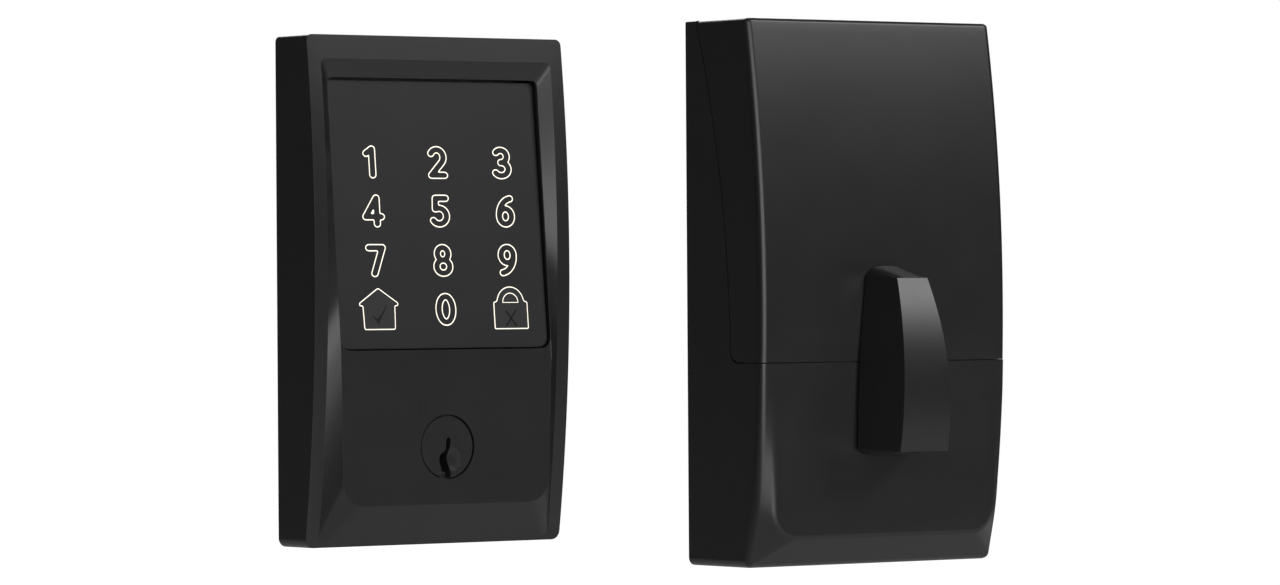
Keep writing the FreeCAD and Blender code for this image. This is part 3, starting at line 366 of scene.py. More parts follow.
LEGEND = glow("LegendGlow", (1.0, 0.94, 0.80), 1.0)
TINT = finish("LegendField", (0.030, 0.030, 0.032), (0.036, 0.036, 0.038), 0.36, bump=0.02, rub=0.0)
DIM = finish("LegendUnlit", (0.008, 0.008, 0.008), (0.011, 0.011, 0.011), 0.7, bump=0.02, rub=0.0,
             specular=0.15)


# ---- keypad half: housing -------------------------------------------------------------------

RIM_DEPTHS = (14.0, 17.4, 12.0)        # at the top edge, the middle and the bottom edge
RIM_WIDTH, RIM_TOP, RIM_FOOT = 3.75, 6.0, 1.0
SCREEN_TOP = OUT_TOP - 10.5
SCREEN_HEIGHT, SCREEN_HALF, PANEL_HALF = 67.8, 31.7, 31.0
SCREEN_FOOT = SCREEN_TOP - SCREEN_HEIGHT
SCREEN_DEPTHS = (13.0, 18.7)
PANEL_FOOT, PANEL_FOOT_DEPTH = OUT_FOOT + 10.1, 18.2
PANEL_BEHIND = 17.5                     # a depth just behind the panel
TILT = math.atan((SCREEN_DEPTHS[1] - SCREEN_DEPTHS[0]) / SCREEN_HEIGHT)
SCREEN_CORNER = 3.0
LENS_INSET, LENS_GAUGE = 1.1, 1.2
TOP_HALF = 31.9                         # the panel's half width at the screen's foot and above
WALL, BACK_LIP, WELL_DEPTH = 2.2, 3.0, 2.6
PLUG_BORE, BORE_BACK, BORE_FRONT, BORE_ROUND = 8.1, 8.0, 25.0, 0.35
OUTER_CORNERS, RIM_CORNERS, PANEL_CORNERS, INNER_CORNERS = (1.6, 2.2), (1.6, 2.4), (1.6, 6.0), (1.0, 1.0)
# the rounding of each ring of the shell, by its number from the inner back edge outwards
SHELL_ROUNDS = {2: 0.3, 3: 1.8, 4: 0.9, 5: 0.5, 6: 0.25}
SIDE_STEPS, CORNER_STEPS, ACROSS_STEPS = 36, 6, 12


def rim_depth(z):
    reach = (OUT_TOP - OUT_FOOT) / 2
    at = (z - (OUT_TOP + OUT_FOOT) / 2) / reach
    top, centre, foot = RIM_DEPTHS
    return centre + at * (top - foot) / 2 + at * at * ((top + foot) / 2 - centre)


def panel_depth(z):
    high, low = SCREEN_DEPTHS
    if z >= SCREEN_FOOT:
        return high + (low - high) * (SCREEN_TOP - z) / SCREEN_HEIGHT
    return low + (PANEL_FOOT_DEPTH - low) * (SCREEN_FOOT - z) / (SCREEN_FOOT - PANEL_FOOT)


def frame_outline(half, top, foot, top_corner, foot_corner):
    """(x, z) round a rounded rectangle, from the top left corner's end, clockwise."""
    right = half - top_corner
    points = [(-right + 2 * right * i / ACROSS_STEPS, top) for i in range(ACROSS_STEPS)]
    points += arc((right, top - top_corner), top_corner, 90, 0, CORNER_STEPS)
    high, low = top - top_corner, foot + foot_corner
    points += [(half, high + (low - high) * i / SIDE_STEPS) for i in range(1, SIDE_STEPS)]
    inner = half - foot_corner
    points += arc((inner, foot + foot_corner), foot_corner, 0, -90, CORNER_STEPS)
    points += [(inner - 2 * inner * i / ACROSS_STEPS, foot) for i in range(1, ACROSS_STEPS)]
    points += arc((-inner, foot + foot_corner), foot_corner, -90, -180, CORNER_STEPS)
    points += [(-half, low + (high - low) * i / SIDE_STEPS) for i in range(1, SIDE_STEPS)]
    points += arc((-right, top - top_corner), top_corner, 180, 90, CORNER_STEPS)[:-1]
    return points


def screen_outline(panel):
    """The screen's outline with one point for each point of the panel's: what lies below the
    screen's bottom corners gathers round those corners and along its bottom edge."""
    half, corner = SCREEN_HALF, SCREEN_CORNER
    turn = SCREEN_FOOT + corner
    side_end = PANEL_FOOT + PANEL_CORNERS[1]
    points = []
    for x, z in panel:
        side = math.copysign(1, x)
        if z > turn:
            points.append((x * half / TOP_HALF, z))
        elif z >= side_end - 1e-6:
            angle = math.pi / 2 * (turn - z) / (turn - side_end)
            reach = half - corner + corner * math.cos(angle)
            points.append((side * reach, turn - corner * math.sin(angle)))
        else:
            points.append((x * (half - corner) / PANEL_HALF, SCREEN_FOOT))
    return points


def panel_half(z):
    """The panel is a little wider beside the screen than below it."""
    share = min(1.0, max(0.0, (z - PANEL_FOOT) / (SCREEN_FOOT - PANEL_FOOT)))
    return PANEL_HALF + (TOP_HALF - PANEL_HALF) * share


def open_bore(shell):
    """Takes the floor out of the plug's bore, so that the plug's shank passes through."""
    whole = bmesh.new()
    whole.from_mesh(shell.data)
    floor = [f for f in whole.faces if all(abs(v.co.y / MM + BORE_BACK) < 0.01 for v in f.verts)]
    bmesh.ops.delete(whole, geom=floor, context="FACES")
    whole.to_mesh(shell.data)
    whole.free()


def round_bore(shell):
    """Marks the bore's front edge for rounding."""
    layer = shell.data.attributes.get("bevel_weight_edge")
    for edge in shell.data.edges:
        ends = [shell.data.vertices[v].co / MM for v in edge.vertices]
        if all(abs(math.hypot(p.x, p.z) - PLUG_BORE) < 0.05 and p.y < -PANEL_BEHIND for p in ends):
            layer.data[edge.index].value = BORE_ROUND / WIDEST


def outside_housing():
    edge_half = OUT_HALF - RIM_WIDTH
    outer = frame_outline(OUT_HALF, OUT_TOP, OUT_FOOT, *OUTER_CORNERS)
    rim = frame_outline(edge_half, OUT_TOP - RIM_TOP, OUT_FOOT + RIM_FOOT, *RIM_CORNERS)
    panel = frame_outline(PANEL_HALF, SCREEN_TOP, PANEL_FOOT, *PANEL_CORNERS)
    panel = [(x * panel_half(z) / PANEL_HALF, z) for x, z in panel]
    screen = screen_outline(panel)
    inner = frame_outline(OUT_HALF - WALL, OUT_TOP - WALL, OUT_FOOT + WALL, *INNER_CORNERS)
    rings = [
        [(x, BACK_LIP, z) for x, z in inner],
        [(x, 0.0, z) for x, z in inner],
        [(x, 0.0, z) for x, z in outer],
        [(x, rim_depth(z), z) for x, z in outer],
        [(x, rim_depth(z), z) for x, z in rim],
        [(x, panel_depth(z), z) for x, z in panel],
        [(x, panel_depth(z), z) for x, z in screen],
        [(x, panel_depth(z) - WELL_DEPTH, z) for x, z in screen],
    ]
    shell = loft("outside_housing_shell", rings, SHELL_ROUNDS)
    cut_away(shell, rod_cutter(PLUG_BORE, BORE_BACK, BORE_FRONT))
    open_bore(shell)
    round_bore(shell)
    soften(shell)
    bake(shell)
    place(shell, "lock_frame", "black_zinc", "outside_housing")


# ---- keypad half: touchscreen and its legends ------------------------------------------------

SCREEN_MIDDLE = Vector((0, -(SCREEN_DEPTHS[0] + SCREEN_DEPTHS[1]) / 2, SCREEN_TOP - SCREEN_HEIGHT / 2)) * MM
LENS_LEAN = 0.009                       # the glass stands a little deeper at its top
LENS_SIDE_GAP, LENS_END_GAP, LENS_TOP_CORNER, LENS_ROUND = 0.3, 0.25, 1.4, 0.3
SCREEN_PLANE = Matrix.Translation(SCREEN_MIDDLE) @ Matrix.Rotation(-TILT - LENS_LEAN, 4, "X")


def rounded_rectangle(half_width, half_height, foot_corner, top_corner, steps):
    points = []
    for cx, cz, start in ((1, 1, 90), (1, -1, 0), (-1, -1, -90), (-1, 1, -180)):
        corner = top_corner if cz > 0 else foot_corner
        centre = (cx * (half_width - corner), cz * (half_height - corner))
        points += arc(centre, corner, start, start - 90, steps)
    return points


def screen_glass():
    half_width, half_height = SCREEN_HALF - LENS_SIDE_GAP, SCREEN_HEIGHT / 2 - LENS_END_GAP
    outline = rounded_rectangle(half_width, half_height, SCREEN_CORNER - LENS_SIDE_GAP, LENS_TOP_CORNER, 8)
    back, front = -LENS_INSET - LENS_GAUGE, -LENS_INSET
    rings = [[(x, depth, z) for x, z in outline] for depth in (back, front)]
    glass = loft("touchscreen_glass", rings, {1: LENS_ROUND}, cap=True)
    glass.data.transform(SCREEN_PLANE)
    soften(glass)
    bake(glass)
    place(glass, "lock_frame", "black_glass", "touchscreen_lens")


def ellipse(x, z, rx, rz, start, end, steps=28):
    """Points along part of an ellipse, degrees from +x towards +z."""
    turns = [math.radians(start + (end - start) * i / steps) for i in range(steps + 1)]
    return [(x + rx * math.cos(t), z + rz * math.sin(t)) for t in turns]


STROKE = 0.78                           # half the height of a level stroke
WIDER = 1.2                             # how much wider an upright stroke is than a level one
LINE, FINE_LINE = 0.14, 0.24            # half the width of a lit line and of an unlit one
GRID_REACH, GRID_STEP = 4.6, 0.16       # the square grid on which a digit's outline is found


def digit_strokes():
    """Each digit as the centre lines of its strokes, in mm about its own middle."""
    top, foot = 3.22, -3.22
    six = [ellipse(0.1, -1.3, 1.85, 1.92, 0, 360), ellipse(2.2, -1.1, 3.95, 4.3, 180, 98)]
    return {
        "1": [[(-1.2, 2.15), (0.5, top), (0.5, foot)]],
        "2": [ellipse(-0.1, 1.3, 1.95, 1.92, 150, -38) + [(-1.9, foot), (2.0, foot)]],
        "3": [ellipse(-0.35, 1.65, 1.8, 1.57, 140, -90), ellipse(-0.35, -1.55, 2.15, 1.67, 90, -145)],
        "4": [[(1.0, foot), (1.0, top), (-2.3, -1.45), (2.3, -1.45)]],
        "5": [[(1.8, top), (-1.25, top), (-1.4, 0.55)] + ellipse(-0.35, -1.25, 2.2, 1.97, 110, -145)],
        "6": six,
        "7": [[(-2.0, top), (2.0, top), (-0.6, foot)]],
        "8": [ellipse(0, 1.65, 1.6, 1.57, 0, 360), ellipse(0, -1.55, 1.95, 1.67, 0, 360)],
        "9": [[(-x, -z) for x, z in line] for line in six],
        "0": [ellipse(0, 0, 2.07, top, 0, 360, 40)],
    }


def nearest(x, z, lines):
    """Distance from a point to a set of lines, sideways distance counting for less."""
    best = 99.0
    for line in lines:
        for (ax, az), (bx, bz) in zip(line, line[1:]):
            dx, dz = (bx - ax) / WIDER, bz - az
            ex, ez = (x - ax) / WIDER, z - az
            share = min(1.0, max(0.0, (ex * dx + ez * dz) / (dx * dx + dz * dz + 1e-12)))
            best = min(best, math.hypot(ex - share * dx, ez - share * dz))
    return best


def edge_crossing(a, b, values):
    """Where the outline crosses a side of a grid square."""
    share = (STROKE - values[a]) / (values[b] - values[a])
    return (a[0] + (b[0] - a[0]) * share, a[1] + (b[1] - a[1]) * share)


def on_grid(i, j):
    return i * GRID_STEP - GRID_REACH, j * GRID_STEP - GRID_REACH


def contour_loops(lines):
    """Closed outlines one stroke's width from the lines, walked through a square grid."""
    count = int(2 * GRID_REACH / GRID_STEP) + 1
    grid = [(i, j) for i in range(count) for j in range(count)]
    values = {spot: nearest(*on_grid(*spot), lines) for spot in grid}
    links = {}
    for i, j in grid:
        if i == count - 1 or j == count - 1:
            continue
        ring = [(i, j), (i + 1, j), (i + 1, j + 1), (i, j + 1)]
        sides = [(a, b) if a < b else (b, a) for a, b in zip(ring, ring[1:] + ring[:1])]
        crossed = [side for side in sides if (values[side[0]] < STROKE) != (values[side[1]] < STROKE)]
        for a, b in zip(crossed[::2], crossed[1::2]):
            links.setdefault(a, []).append(b)
            links.setdefault(b, []).append(a)
    loops = []
    while links:
        side = next(iter(links))
        loop = []
        while side in links:
            loop.append(side)
            onward = links.pop(side)
            side = next((s for s in onward if s in links), None)
        loops.append([on_grid(*edge_crossing(a, b, values)) for a, b in loop])
    return loops


def smooth_loop(loop, rounds=2):
    """Evens a closed loop by drawing each point towards its neighbours."""
    for _ in range(rounds):
        loop = [((a[0] + 2 * b[0] + c[0]) / 4, (a[1] + 2 * b[1] + c[1]) / 4)
                for a, b, c in zip(loop[-1:] + loop[:-1], loop, loop[1:] + loop[:1])]
    return loop


def glowing_lines(name, loops, at, width=LINE, material=None):
    """Thin flat lines printed on the glass round each closed loop."""
    curve = bpy.data.curves.new(name, "CURVE")
    curve.dimensions = "3D"
    curve.bevel_depth = width * MM
    curve.bevel_resolution = 2
    for loop in loops:
        spline = curve.splines.new("POLY")
        spline.points.add(len(loop) - 1)
        for point, (x, z) in zip(spline.points, loop):
            point.co = ((x + at[0]) * MM, 0, (z + at[1]) * MM, 1)
        spline.use_cyclic_u = True
    drawn = bpy.data.objects.new(name + "_drawn", curve)
    bpy.context.scene.collection.objects.link(drawn)
    graph = bpy.context.evaluated_depsgraph_get()
    mesh = bpy.data.meshes.new_from_object(drawn.evaluated_get(graph))
    bpy.data.objects.remove(drawn)
    flat = Matrix.Translation((0, LENS_INSET * MM, 0)) @ Matrix.Diagonal((1, LINE_FLATNESS, 1, 1))
    mesh.transform(SCREEN_PLANE @ flat)
    mesh.shade_smooth()
    piece = bpy.data.objects.new(name, mesh)
    bpy.context.scene.collection.objects.link(piece)
    place(piece, "lock_frame", "black_glass")
    piece.data.materials[0] = material or LEGEND
    return piece


SCREEN_RISE = SCREEN_TOP - SCREEN_HEIGHT / 2
COLUMNS = (-19.4, 0.7, 20.5)
ROWS = tuple(rise - SCREEN_RISE for rise in (71.3, 59.05, 46.65, 34.35))
TINT_LIFT = 0.035                       # how far the tinted fields stand in front of the glass
LINE_FLATNESS = 0.5                     # a printed line's thickness against its width
BEND_STEPS, MOST_OF_EDGE = 5, 0.45


def tinted_panel(name, outline, at):
    """The faintly lighter field inside an outline, a hair in front of the glass."""
    depth = TINT_LIFT - LENS_INSET
    points = [(x + at[0], depth, z + at[1]) for x, z in outline]
    field = new_piece(name, points, [tuple(range(len(points)))])
    field.data.transform(SCREEN_PLANE)
    place(field, "lock_frame", "black_glass")
    field.data.materials[0] = TINT


def rounded_path(corners, radius):
    """A closed path with each corner replaced by a small curve."""
    path = []
    for before, corner, after in zip(corners[-1:] + corners[:-1], corners, corners[1:] + corners[:1]):
        spot = Vector(corner)
        inward, onward = Vector(before) - spot, Vector(after) - spot
        reach = min(radius, MOST_OF_EDGE * inward.length, MOST_OF_EDGE * onward.length)
        first = spot + inward.normalized() * reach
        last = spot + onward.normalized() * reach
        for i in range(BEND_STEPS + 1):
            share = i / BEND_STEPS
            point = first * (1 - share) ** 2 + spot * 2 * share * (1 - share) + last * share ** 2
            path.append((point.x, point.y))
    return path


def legends():
    strokes = digit_strokes()
    layout = {"1": (0, 0), "2": (1, 0), "3": (2, 0), "4": (0, 1), "5": (1, 1), "6": (2, 1),
              "7": (0, 2), "8": (1, 2), "9": (2, 2), "0": (1, 3)}
    for digit, (column, row) in layout.items():
        loops = [smooth_loop(loop) for loop in contour_loops(strokes[digit])]
        glowing_lines(f"legend_{digit}", loops, (COLUMNS[column], ROWS[row]))
    house = [(0, 5.2), (5.75, 1.45), (5.6, 0.85), (4.75, 0.85), (4.55, -5.05), (-4.55, -5.05),
             (-4.75, 0.85), (-5.6, 0.85), (-5.75, 1.45)]
    house = rounded_path(house, 0.5)
    body = [(-5.1, 1.5), (-4.2, 1.8)] + arc((0, 1.3), 4.1, 168, 12, 24) + [(4.2, 1.8), (5.1, 1.5),
            (5.1, -5.1), (-5.1, -5.1)]
    body = rounded_path(body, 0.3)
    shackle = arc((0, 1.5), 2.35, 180, 0, 16)
    home, lock = (COLUMNS[0], ROWS[3] + 0.2), (COLUMNS[2], ROWS[3] + 0.1)
    glowing_lines("legend_house", [house], home)
    glowing_lines("legend_padlock", [body, shackle], lock)
    tinted_panel("legend_house_field", house, home)
    tinted_panel("legend_padlock_field", body, lock)
    check = [(-2.0, -1.7), (-0.4, -3.5), (2.4, 1.0), (-0.45, -2.75)]
    cross = [[(-1.5, -4.3), (1.5, -0.6), (1.45, -0.55), (-1.55, -4.25)],
             [(-1.5, -0.6), (1.5, -4.3), (1.45, -4.35), (-1.55, -0.65)]]
    glowing_lines("legend_check", [check], home, FINE_LINE, DIM)
    glowing_lines("legend_cross", cross, lock, FINE_LINE, DIM)


# ---- battery half: housing and cover ---------------------------------------------------------

FRONT_SEAM, FRONT_TOP, FRONT_FOOT = 31.7, 25.9, 24.5
FRONT_RADIUS = 450.0
SEAM_TOP, SEAM_FOOT, SEAM_RADIUS, SEAM_CORNER = 4.3, 18.3, 292.0, 3.4
SEAM_GAP = 0.3
PAD_HALF, PAD_FOOT, PAD_FOOT_DEPTH = 36.4, IN_FOOT + 7.5, 31.2
NECK_RADIUS, NECK_SPAN, NECK_EASE = 8.0, (20.0, 40.0), 0.4
COVER_WALL, HOUSING_WALL, COVER_EASE, HOUSING_EASE = 1.8, 1.9, 0.14, 0.16
COVER_EDGE, COVER_TOP, COVER_TOP_CORNER = 2.0, 1.0, 1.6
HOUSING_EDGE, PAD_EDGE, HOUSING_FOOT, HOUSING_FOOT_CORNER, SKIRT_TOP = 1.8, 0.9, 1.0, 2.0, 0.8
PAD_CORNER = 7.0
FALL_POWER = 1.7                        # how the lower housing's edge gathers speed as it falls back


def bowed(a, b, radius, steps):
    """(depth, z) points from a to b along an arc that bows to the front."""
    (d0, z0), (d1, z1) = a, b
    chord = math.hypot(d1 - d0, z1 - z0)
    points = []
    for i in range(steps + 1):
        along = (i / steps - 0.5) * chord
        rise = math.sqrt(radius ** 2 - along ** 2) - math.sqrt(radius ** 2 - chord ** 2 / 4)
        share = i / steps
        nx, nz = abs(z1 - z0) / chord, (d1 - d0) / chord * math.copysign(1, z0 - z1)
        points.append((d0 + (d1 - d0) * share + nx * rise, z0 + (z1 - z0) * share + nz * rise))
    return points


def seam_line(gap, foot):
    """(depth, z) from the seam's bottom front end, round its corner and up to the top."""
    corner = SEAM_CORNER
    centre = (SEAM_FOOT + gap + corner, foot + corner)
    turn = [(centre[0] - corner * math.sin(math.radians(a)), centre[1] - corner * math.cos(math.radians(a)))
            for a in range(0, 91, 15)]
    return turn + bowed((SEAM_FOOT + gap, foot + corner), (SEAM_TOP + gap, IN_TOP), SEAM_RADIUS, 24)[1:]


def mirrored_sides(outline, half):
    """Point rows of a slab's two side faces from (depth, z) points."""
    return [(-half, d, z) for d, z in outline], [(half, d, z) for d, z in outline]


def hollow_out(piece, wall, eased):
    """Rounds a shell's outer edges, then gives it its wall and takes the sharpness off the rest."""
    soften(piece, 5)
    shell = piece.modifiers.new("Wall", "SOLIDIFY")
    shell.thickness = wall * MM
    shell.offset = -1
    shell.use_even_offset = True
    ease(piece, eased, 2, 70)


def battery_cover():
    foot = SEAM_GAP / 2
    seam = seam_line(SEAM_GAP, foot)
    front = bowed((FRONT_TOP, IN_TOP), (FRONT_SEAM, foot), FRONT_RADIUS, 28)
    outline = seam + front
    left, right = mirrored_sides(outline, IN_HALF)
    count = len(outline)
    points = left + right
    faces = [tuple(range(count)), tuple(range(2 * count - 1, count - 1, -1))]
    weights = {}
    first_front = len(seam)
    for i in range(len(seam) - 1, count - 1):
        faces.append((i, i + 1, count + i + 1, count + i))
    for i in range(first_front, count - 1):
        for side in (0, count):
            weights[frozenset((side + i, side + i + 1))] = COVER_EDGE
    weights[frozenset((first_front, count + first_front))] = COVER_TOP
    for side in (0, count):
        weights[frozenset((side + first_front - 1, side + first_front))] = COVER_TOP_CORNER
    cover = new_piece("battery_cover_shell", points, faces, True, weights)
    cut_away(cover, rod_cutter(NECK_RADIUS, *NECK_SPAN, True))
    hollow_out(cover, COVER_WALL, COVER_EASE)
    bake(cover)
    place(cover, "cover", "black_zinc", "battery_cover")


def lower_edge(z):
    """Depth of the lower housing's outer front edge."""
    reach = (z - (-SEAM_GAP / 2)) / (IN_FOOT + SEAM_GAP / 2)
    return FRONT_SEAM + (FRONT_FOOT - FRONT_SEAM) * max(0.0, reach) ** FALL_POWER


def inside_housing():
    top = -SEAM_GAP / 2
    seam = seam_line(0.0, top)
    rows = 26
    side_z = [top + (IN_FOOT - top) * i / rows for i in range(rows + 1)]
    edge = [(lower_edge(z), z) for z in side_z]
    outline = [(0, IN_FOOT), (0, IN_TOP)] + seam[::-1] + edge
    left, right = mirrored_sides(outline, IN_HALF)
    count = len(outline)
    points = left + right
    faces = [tuple(range(count)), tuple(range(2 * count - 1, count - 1, -1))]
    faces.append((1, 2, count + 2, count + 1))
    faces.append((0, count - 1, 2 * count - 1, count))
    edge_start = count - len(edge)
    faces.append((edge_start - 1, edge_start, count + edge_start, count + edge_start - 1))
    weights = {}
    slope = (PAD_FOOT_DEPTH - FRONT_SEAM) / (PAD_FOOT - top)

    def pad_depth(z):
        return FRONT_SEAM + slope * (z - top)

    corner, turns = PAD_CORNER, 8
    straight = rows - turns
    pad_z = [top + (PAD_FOOT + corner - top) * i / straight for i in range(straight + 1)]
    half_pad = [(PAD_HALF, z) for z in pad_z[:-1]]
    half_pad += arc((PAD_HALF - corner, PAD_FOOT + corner), corner, 0, -90, turns)
    pad_left = len(points)
    points += [(-x, pad_depth(z), z) for x, z in half_pad]
    pad_right = len(points)
    points += [(x, pad_depth(z), z) for x, z in half_pad]
    pad_count = len(half_pad)
    for i in range(pad_count - 1):
        faces.append((edge_start + i, edge_start + i + 1, pad_left + i + 1, pad_left + i))
        right_edge = count + edge_start + i
        faces.append((right_edge, pad_right + i, pad_right + i + 1, right_edge + 1))
    last = pad_count - 1
    faces.append((edge_start + last, count + edge_start + last, pad_right + last, pad_left + last))
    notch_start = len(points)
    notch_steps = 32
    notch = arc((0, top), NECK_RADIUS, 180, 360, notch_steps)
    points += [(x, pad_depth(z), z) for x, z in notch]
    face = list(range(pad_left, pad_left + pad_count))
    face += list(range(pad_right + last, pad_right - 1, -1))
    face += list(range(notch_start + notch_steps, notch_start - 1, -1))
    faces.append(tuple(face))
    for i in range(pad_count - 1):
        for start in (pad_left, pad_right):
            weights[frozenset((start + i, start + i + 1))] = PAD_EDGE
        for start in (edge_start, count + edge_start):
            weights[frozenset((start + i, start + i + 1))] = HOUSING_EDGE
    weights[frozenset((pad_left + last, pad_right + last))] = PAD_EDGE
    weights[frozenset((count - 1, 2 * count - 1))] = HOUSING_FOOT
    for side in (0, count):
        weights[frozenset((side, side + count - 1))] = HOUSING_FOOT_CORNER
        weights[frozenset((side + 1, side + 2))] = SKIRT_TOP
    housing = new_piece("inside_housing_shell", points, faces, True, weights)
    hollow_out(housing, HOUSING_WALL, HOUSING_EASE)
    bake(housing)
    place(housing, "lock_frame", "black_zinc", "inside_housing")


# ---- battery half: thumbturn -------------------------------------------------------------------

LEVER_BACK = 32.4
LEVER_TOP, LEVER_FOOT = 21.7, -23.2     # the front face's level ends
BACK_TOP, BACK_FOOT = 24.9, -24.5       # the crowns of the back outline's rounded ends
BACK_SHOULDER, BACK_HEEL = 22.0, -22.6
FRONT_TOP_HALF, FRONT_FOOT_HALF = 5.0, 7.9
BACK_TOP_HALF, BACK_FOOT_HALF = 6.9, 9.9
LEVER_ARC_TOP, LEVER_ARC_FOOT, LEVER_ARC_END, LEVER_BOW = 41.5, 47.0, 25.2, 78.0
BACK_BULGE, FRONT_BULGE = 0.7, 0.8
LEVER_FRONT_ROUND, LEVER_BACK_ROUND, LEVER_CORNER_ROUND = 1.2, 0.4, 1.4
LEVER_STEPS, LEVER_END_STEPS = 20, 8


def lever_front(z):
    """Depth of the thumbturn's bowed front face."""
    chord = math.hypot(2 * LEVER_ARC_END, LEVER_ARC_FOOT - LEVER_ARC_TOP)
    share = (z + LEVER_ARC_END) / (2 * LEVER_ARC_END)
    along = (share - 0.5) * chord
    rise = math.sqrt(LEVER_BOW ** 2 - along ** 2) - math.sqrt(LEVER_BOW ** 2 - chord ** 2 / 4)
    return LEVER_ARC_FOOT + (LEVER_ARC_TOP - LEVER_ARC_FOOT) * share + rise


def lever_outline(foot_half, top_half, foot, top, foot_crown, top_crown, bulge):
    """Right side up, top end, left side down, bottom end; the ends rise to their crowns."""
    steps, ends = LEVER_STEPS, LEVER_END_STEPS
    right = []
    for i in range(steps + 1):
        share = i / steps
        half = foot_half + (top_half - foot_half) * share + bulge * math.sin(math.pi * share)
        right.append((half, foot + (top - foot) * share))
    over = [1 - 2 * i / ends for i in range(1, ends)]
    top_end = [(top_half * u, top + (top_crown - top) * (1 - u ** 4)) for u in over]
    foot_end = [(-foot_half * u, foot + (foot_crown - foot) * (1 - u ** 4)) for u in over]
    return right + top_end + [(-x, z) for x, z in right[::-1]] + foot_end


def thumbturn():
    steps, ends = LEVER_STEPS, LEVER_END_STEPS
    back = lever_outline(BACK_FOOT_HALF, BACK_TOP_HALF, BACK_HEEL, BACK_SHOULDER, BACK_FOOT, BACK_TOP,
                         BACK_BULGE)
    front = lever_outline(FRONT_FOOT_HALF, FRONT_TOP_HALF, LEVER_FOOT, LEVER_TOP, LEVER_FOOT, LEVER_TOP,
                          FRONT_BULGE)
    count = len(back)
    points = [(x, LEVER_BACK, z) for x, z in back] + [(x, lever_front(z), z) for x, z in front]
    faces = [(i, (i + 1) % count, count + (i + 1) % count, count + i) for i in range(count)]
    faces.append(tuple(range(count)))
    left_start = steps + ends
    for i in range(steps):
        left = left_start + steps - i
        faces.append((count + i, count + i + 1, count + left - 1, count + left))
    faces.append(tuple(count + i for i in range(steps, left_start + 1)))
    faces.append(tuple(count + i % count for i in range(left_start + steps, count + 1)))
    weights = {}
    for i in range(count):
        onward = (i + 1) % count
        weights[frozenset((i, onward))] = LEVER_BACK_ROUND
        weights[frozenset((count + i, count + onward))] = LEVER_FRONT_ROUND
    for i in (0, steps, left_start, left_start + steps):
        weights[frozenset((i, count + i))] = LEVER_CORNER_ROUND
    lever = new_piece("thumbturn_lever", points, faces, True, weights)
    soften(lever, 5)
    bake(lever, 40)
    place(lever, "turn_rotor", "black_zinc", "thumbturn")


# ---- battery half: what stands behind the seam -------------------------------------------------

BAR_SETBACK, BAR_EASE = 5.0, 0.05
LEDGE_INSET, LEDGE_SPAN = 0.5, (-1.2, 0.09)
TONGUE_SIDE_INSET, TONGUE_FRONT_INSET, TONGUE_SPAN = 2.2, 2.3, (-1.0, 3.0)


def seam_block(name, side_inset, front_inset, low, high):
    """A bar across the housing behind the seam, hollowed round the neck."""
    back, front = SEAM_FOOT + BAR_SETBACK, FRONT_SEAM - front_inset
    outline = [(back, low), (back, high), (front, high), (front, low)]
    left, right = mirrored_sides(outline, IN_HALF - side_inset)
    faces = [(0, 1, 2, 3), (7, 6, 5, 4)]
    faces += [(i, (i + 1) % 4, 4 + (i + 1) % 4, 4 + i) for i in range(4)]
    bar = new_piece(name, left + right, faces, True)
    cut_away(bar, rod_cutter(NECK_RADIUS - NECK_EASE, *NECK_SPAN, True))
    ease(bar, BAR_EASE)
    bake(bar)
    place(bar, "lock_frame", "black_zinc")


def seam_ledge():
    """What stands behind the cover's edge and closes the seam: a wide low bar and a tongue."""
    seam_block("inside_housing_ledge", LEDGE_INSET, LEDGE_INSET, *LEDGE_SPAN)
    seam_block("inside_housing_tongue", TONGUE_SIDE_INSET, TONGUE_FRONT_INSET, *TONGUE_SPAN)


RIB_REACH, RIB_FACE, RIB_GAUGE, RIB_TOP_INSET = 1.4, 2.1, 0.25, 2.5


def seam_ribs():
    """A thin rib inside each side wall that closes the curved seam from behind."""
    line = seam_line(0.0, -SEAM_GAP / 2)
    ends = list(zip(line[:1] + line[:-1], line[1:] + line[-1:]))
    normals = [Vector((b[1] - a[1], a[0] - b[0])).normalized() * RIB_REACH for a, b in ends]
    near = [(d + n.x, z + n.y) for (d, z), n in zip(line, normals)]
    far = [(d - n.x, z - n.y) for (d, z), n in zip(line, normals)]
    top = IN_TOP - RIB_TOP_INSET
    outline = [(d, min(z, top)) for d, z in near + far[::-1]]
    count = len(outline)
    for name, side in (("left", -1), ("right", 1)):
        outer, inner = side * (IN_HALF - RIB_FACE), side * (IN_HALF - RIB_FACE - RIB_GAUGE)
        points = [(x, d, z) for x in (outer, inner) for d, z in outline]
        faces = [tuple(range(count)), tuple(range(2 * count - 1, count - 1, -1))]
        faces += [(i, (i + 1) % count, count + (i + 1) % count, count + i) for i in range(count)]
        rib = new_piece(f"inside_housing_rib_{name}", points, faces, True)
        bake(rib)
        place(rib, "lock_frame", "black_zinc")


CELLS, CELL_RADIUS, CELL_PITCH, CELL_DEPTH, CELL_LENGTH, CELL_FOOT = 4, 7.1, 14.7, 12.6, 49.2, 33.0
BAND_LENGTH, BAND_GAUGE, BAND_SETBACK, BAND_SIDES = 15.0, 0.06, 0.6, 48


def cell_bands():
    """The coloured sleeve at the plus end of each cell, the cells standing turn about."""
    for i in range(CELLS):
        low = CELL_FOOT + (CELL_LENGTH - BAND_LENGTH if i % 2 == 0 else BAND_SETBACK)
        x = (i - (CELLS - 1) / 2) * CELL_PITCH
        ring = arc((x, CELL_DEPTH), CELL_RADIUS + BAND_GAUGE, 0, 360, BAND_SIDES)[:-1]
        rings = [[(u, v, z) for u, v in ring] for z in (low, low + BAND_LENGTH)]
        band = loft(f"cell_band_{i + 1}", rings, {}, True)
        bake(band)
        place(band, "lock_frame", "cell_jacket")
        band.data.materials[0] = BAND


# ---- key cylinder's face ------------------------------------------------------------------------

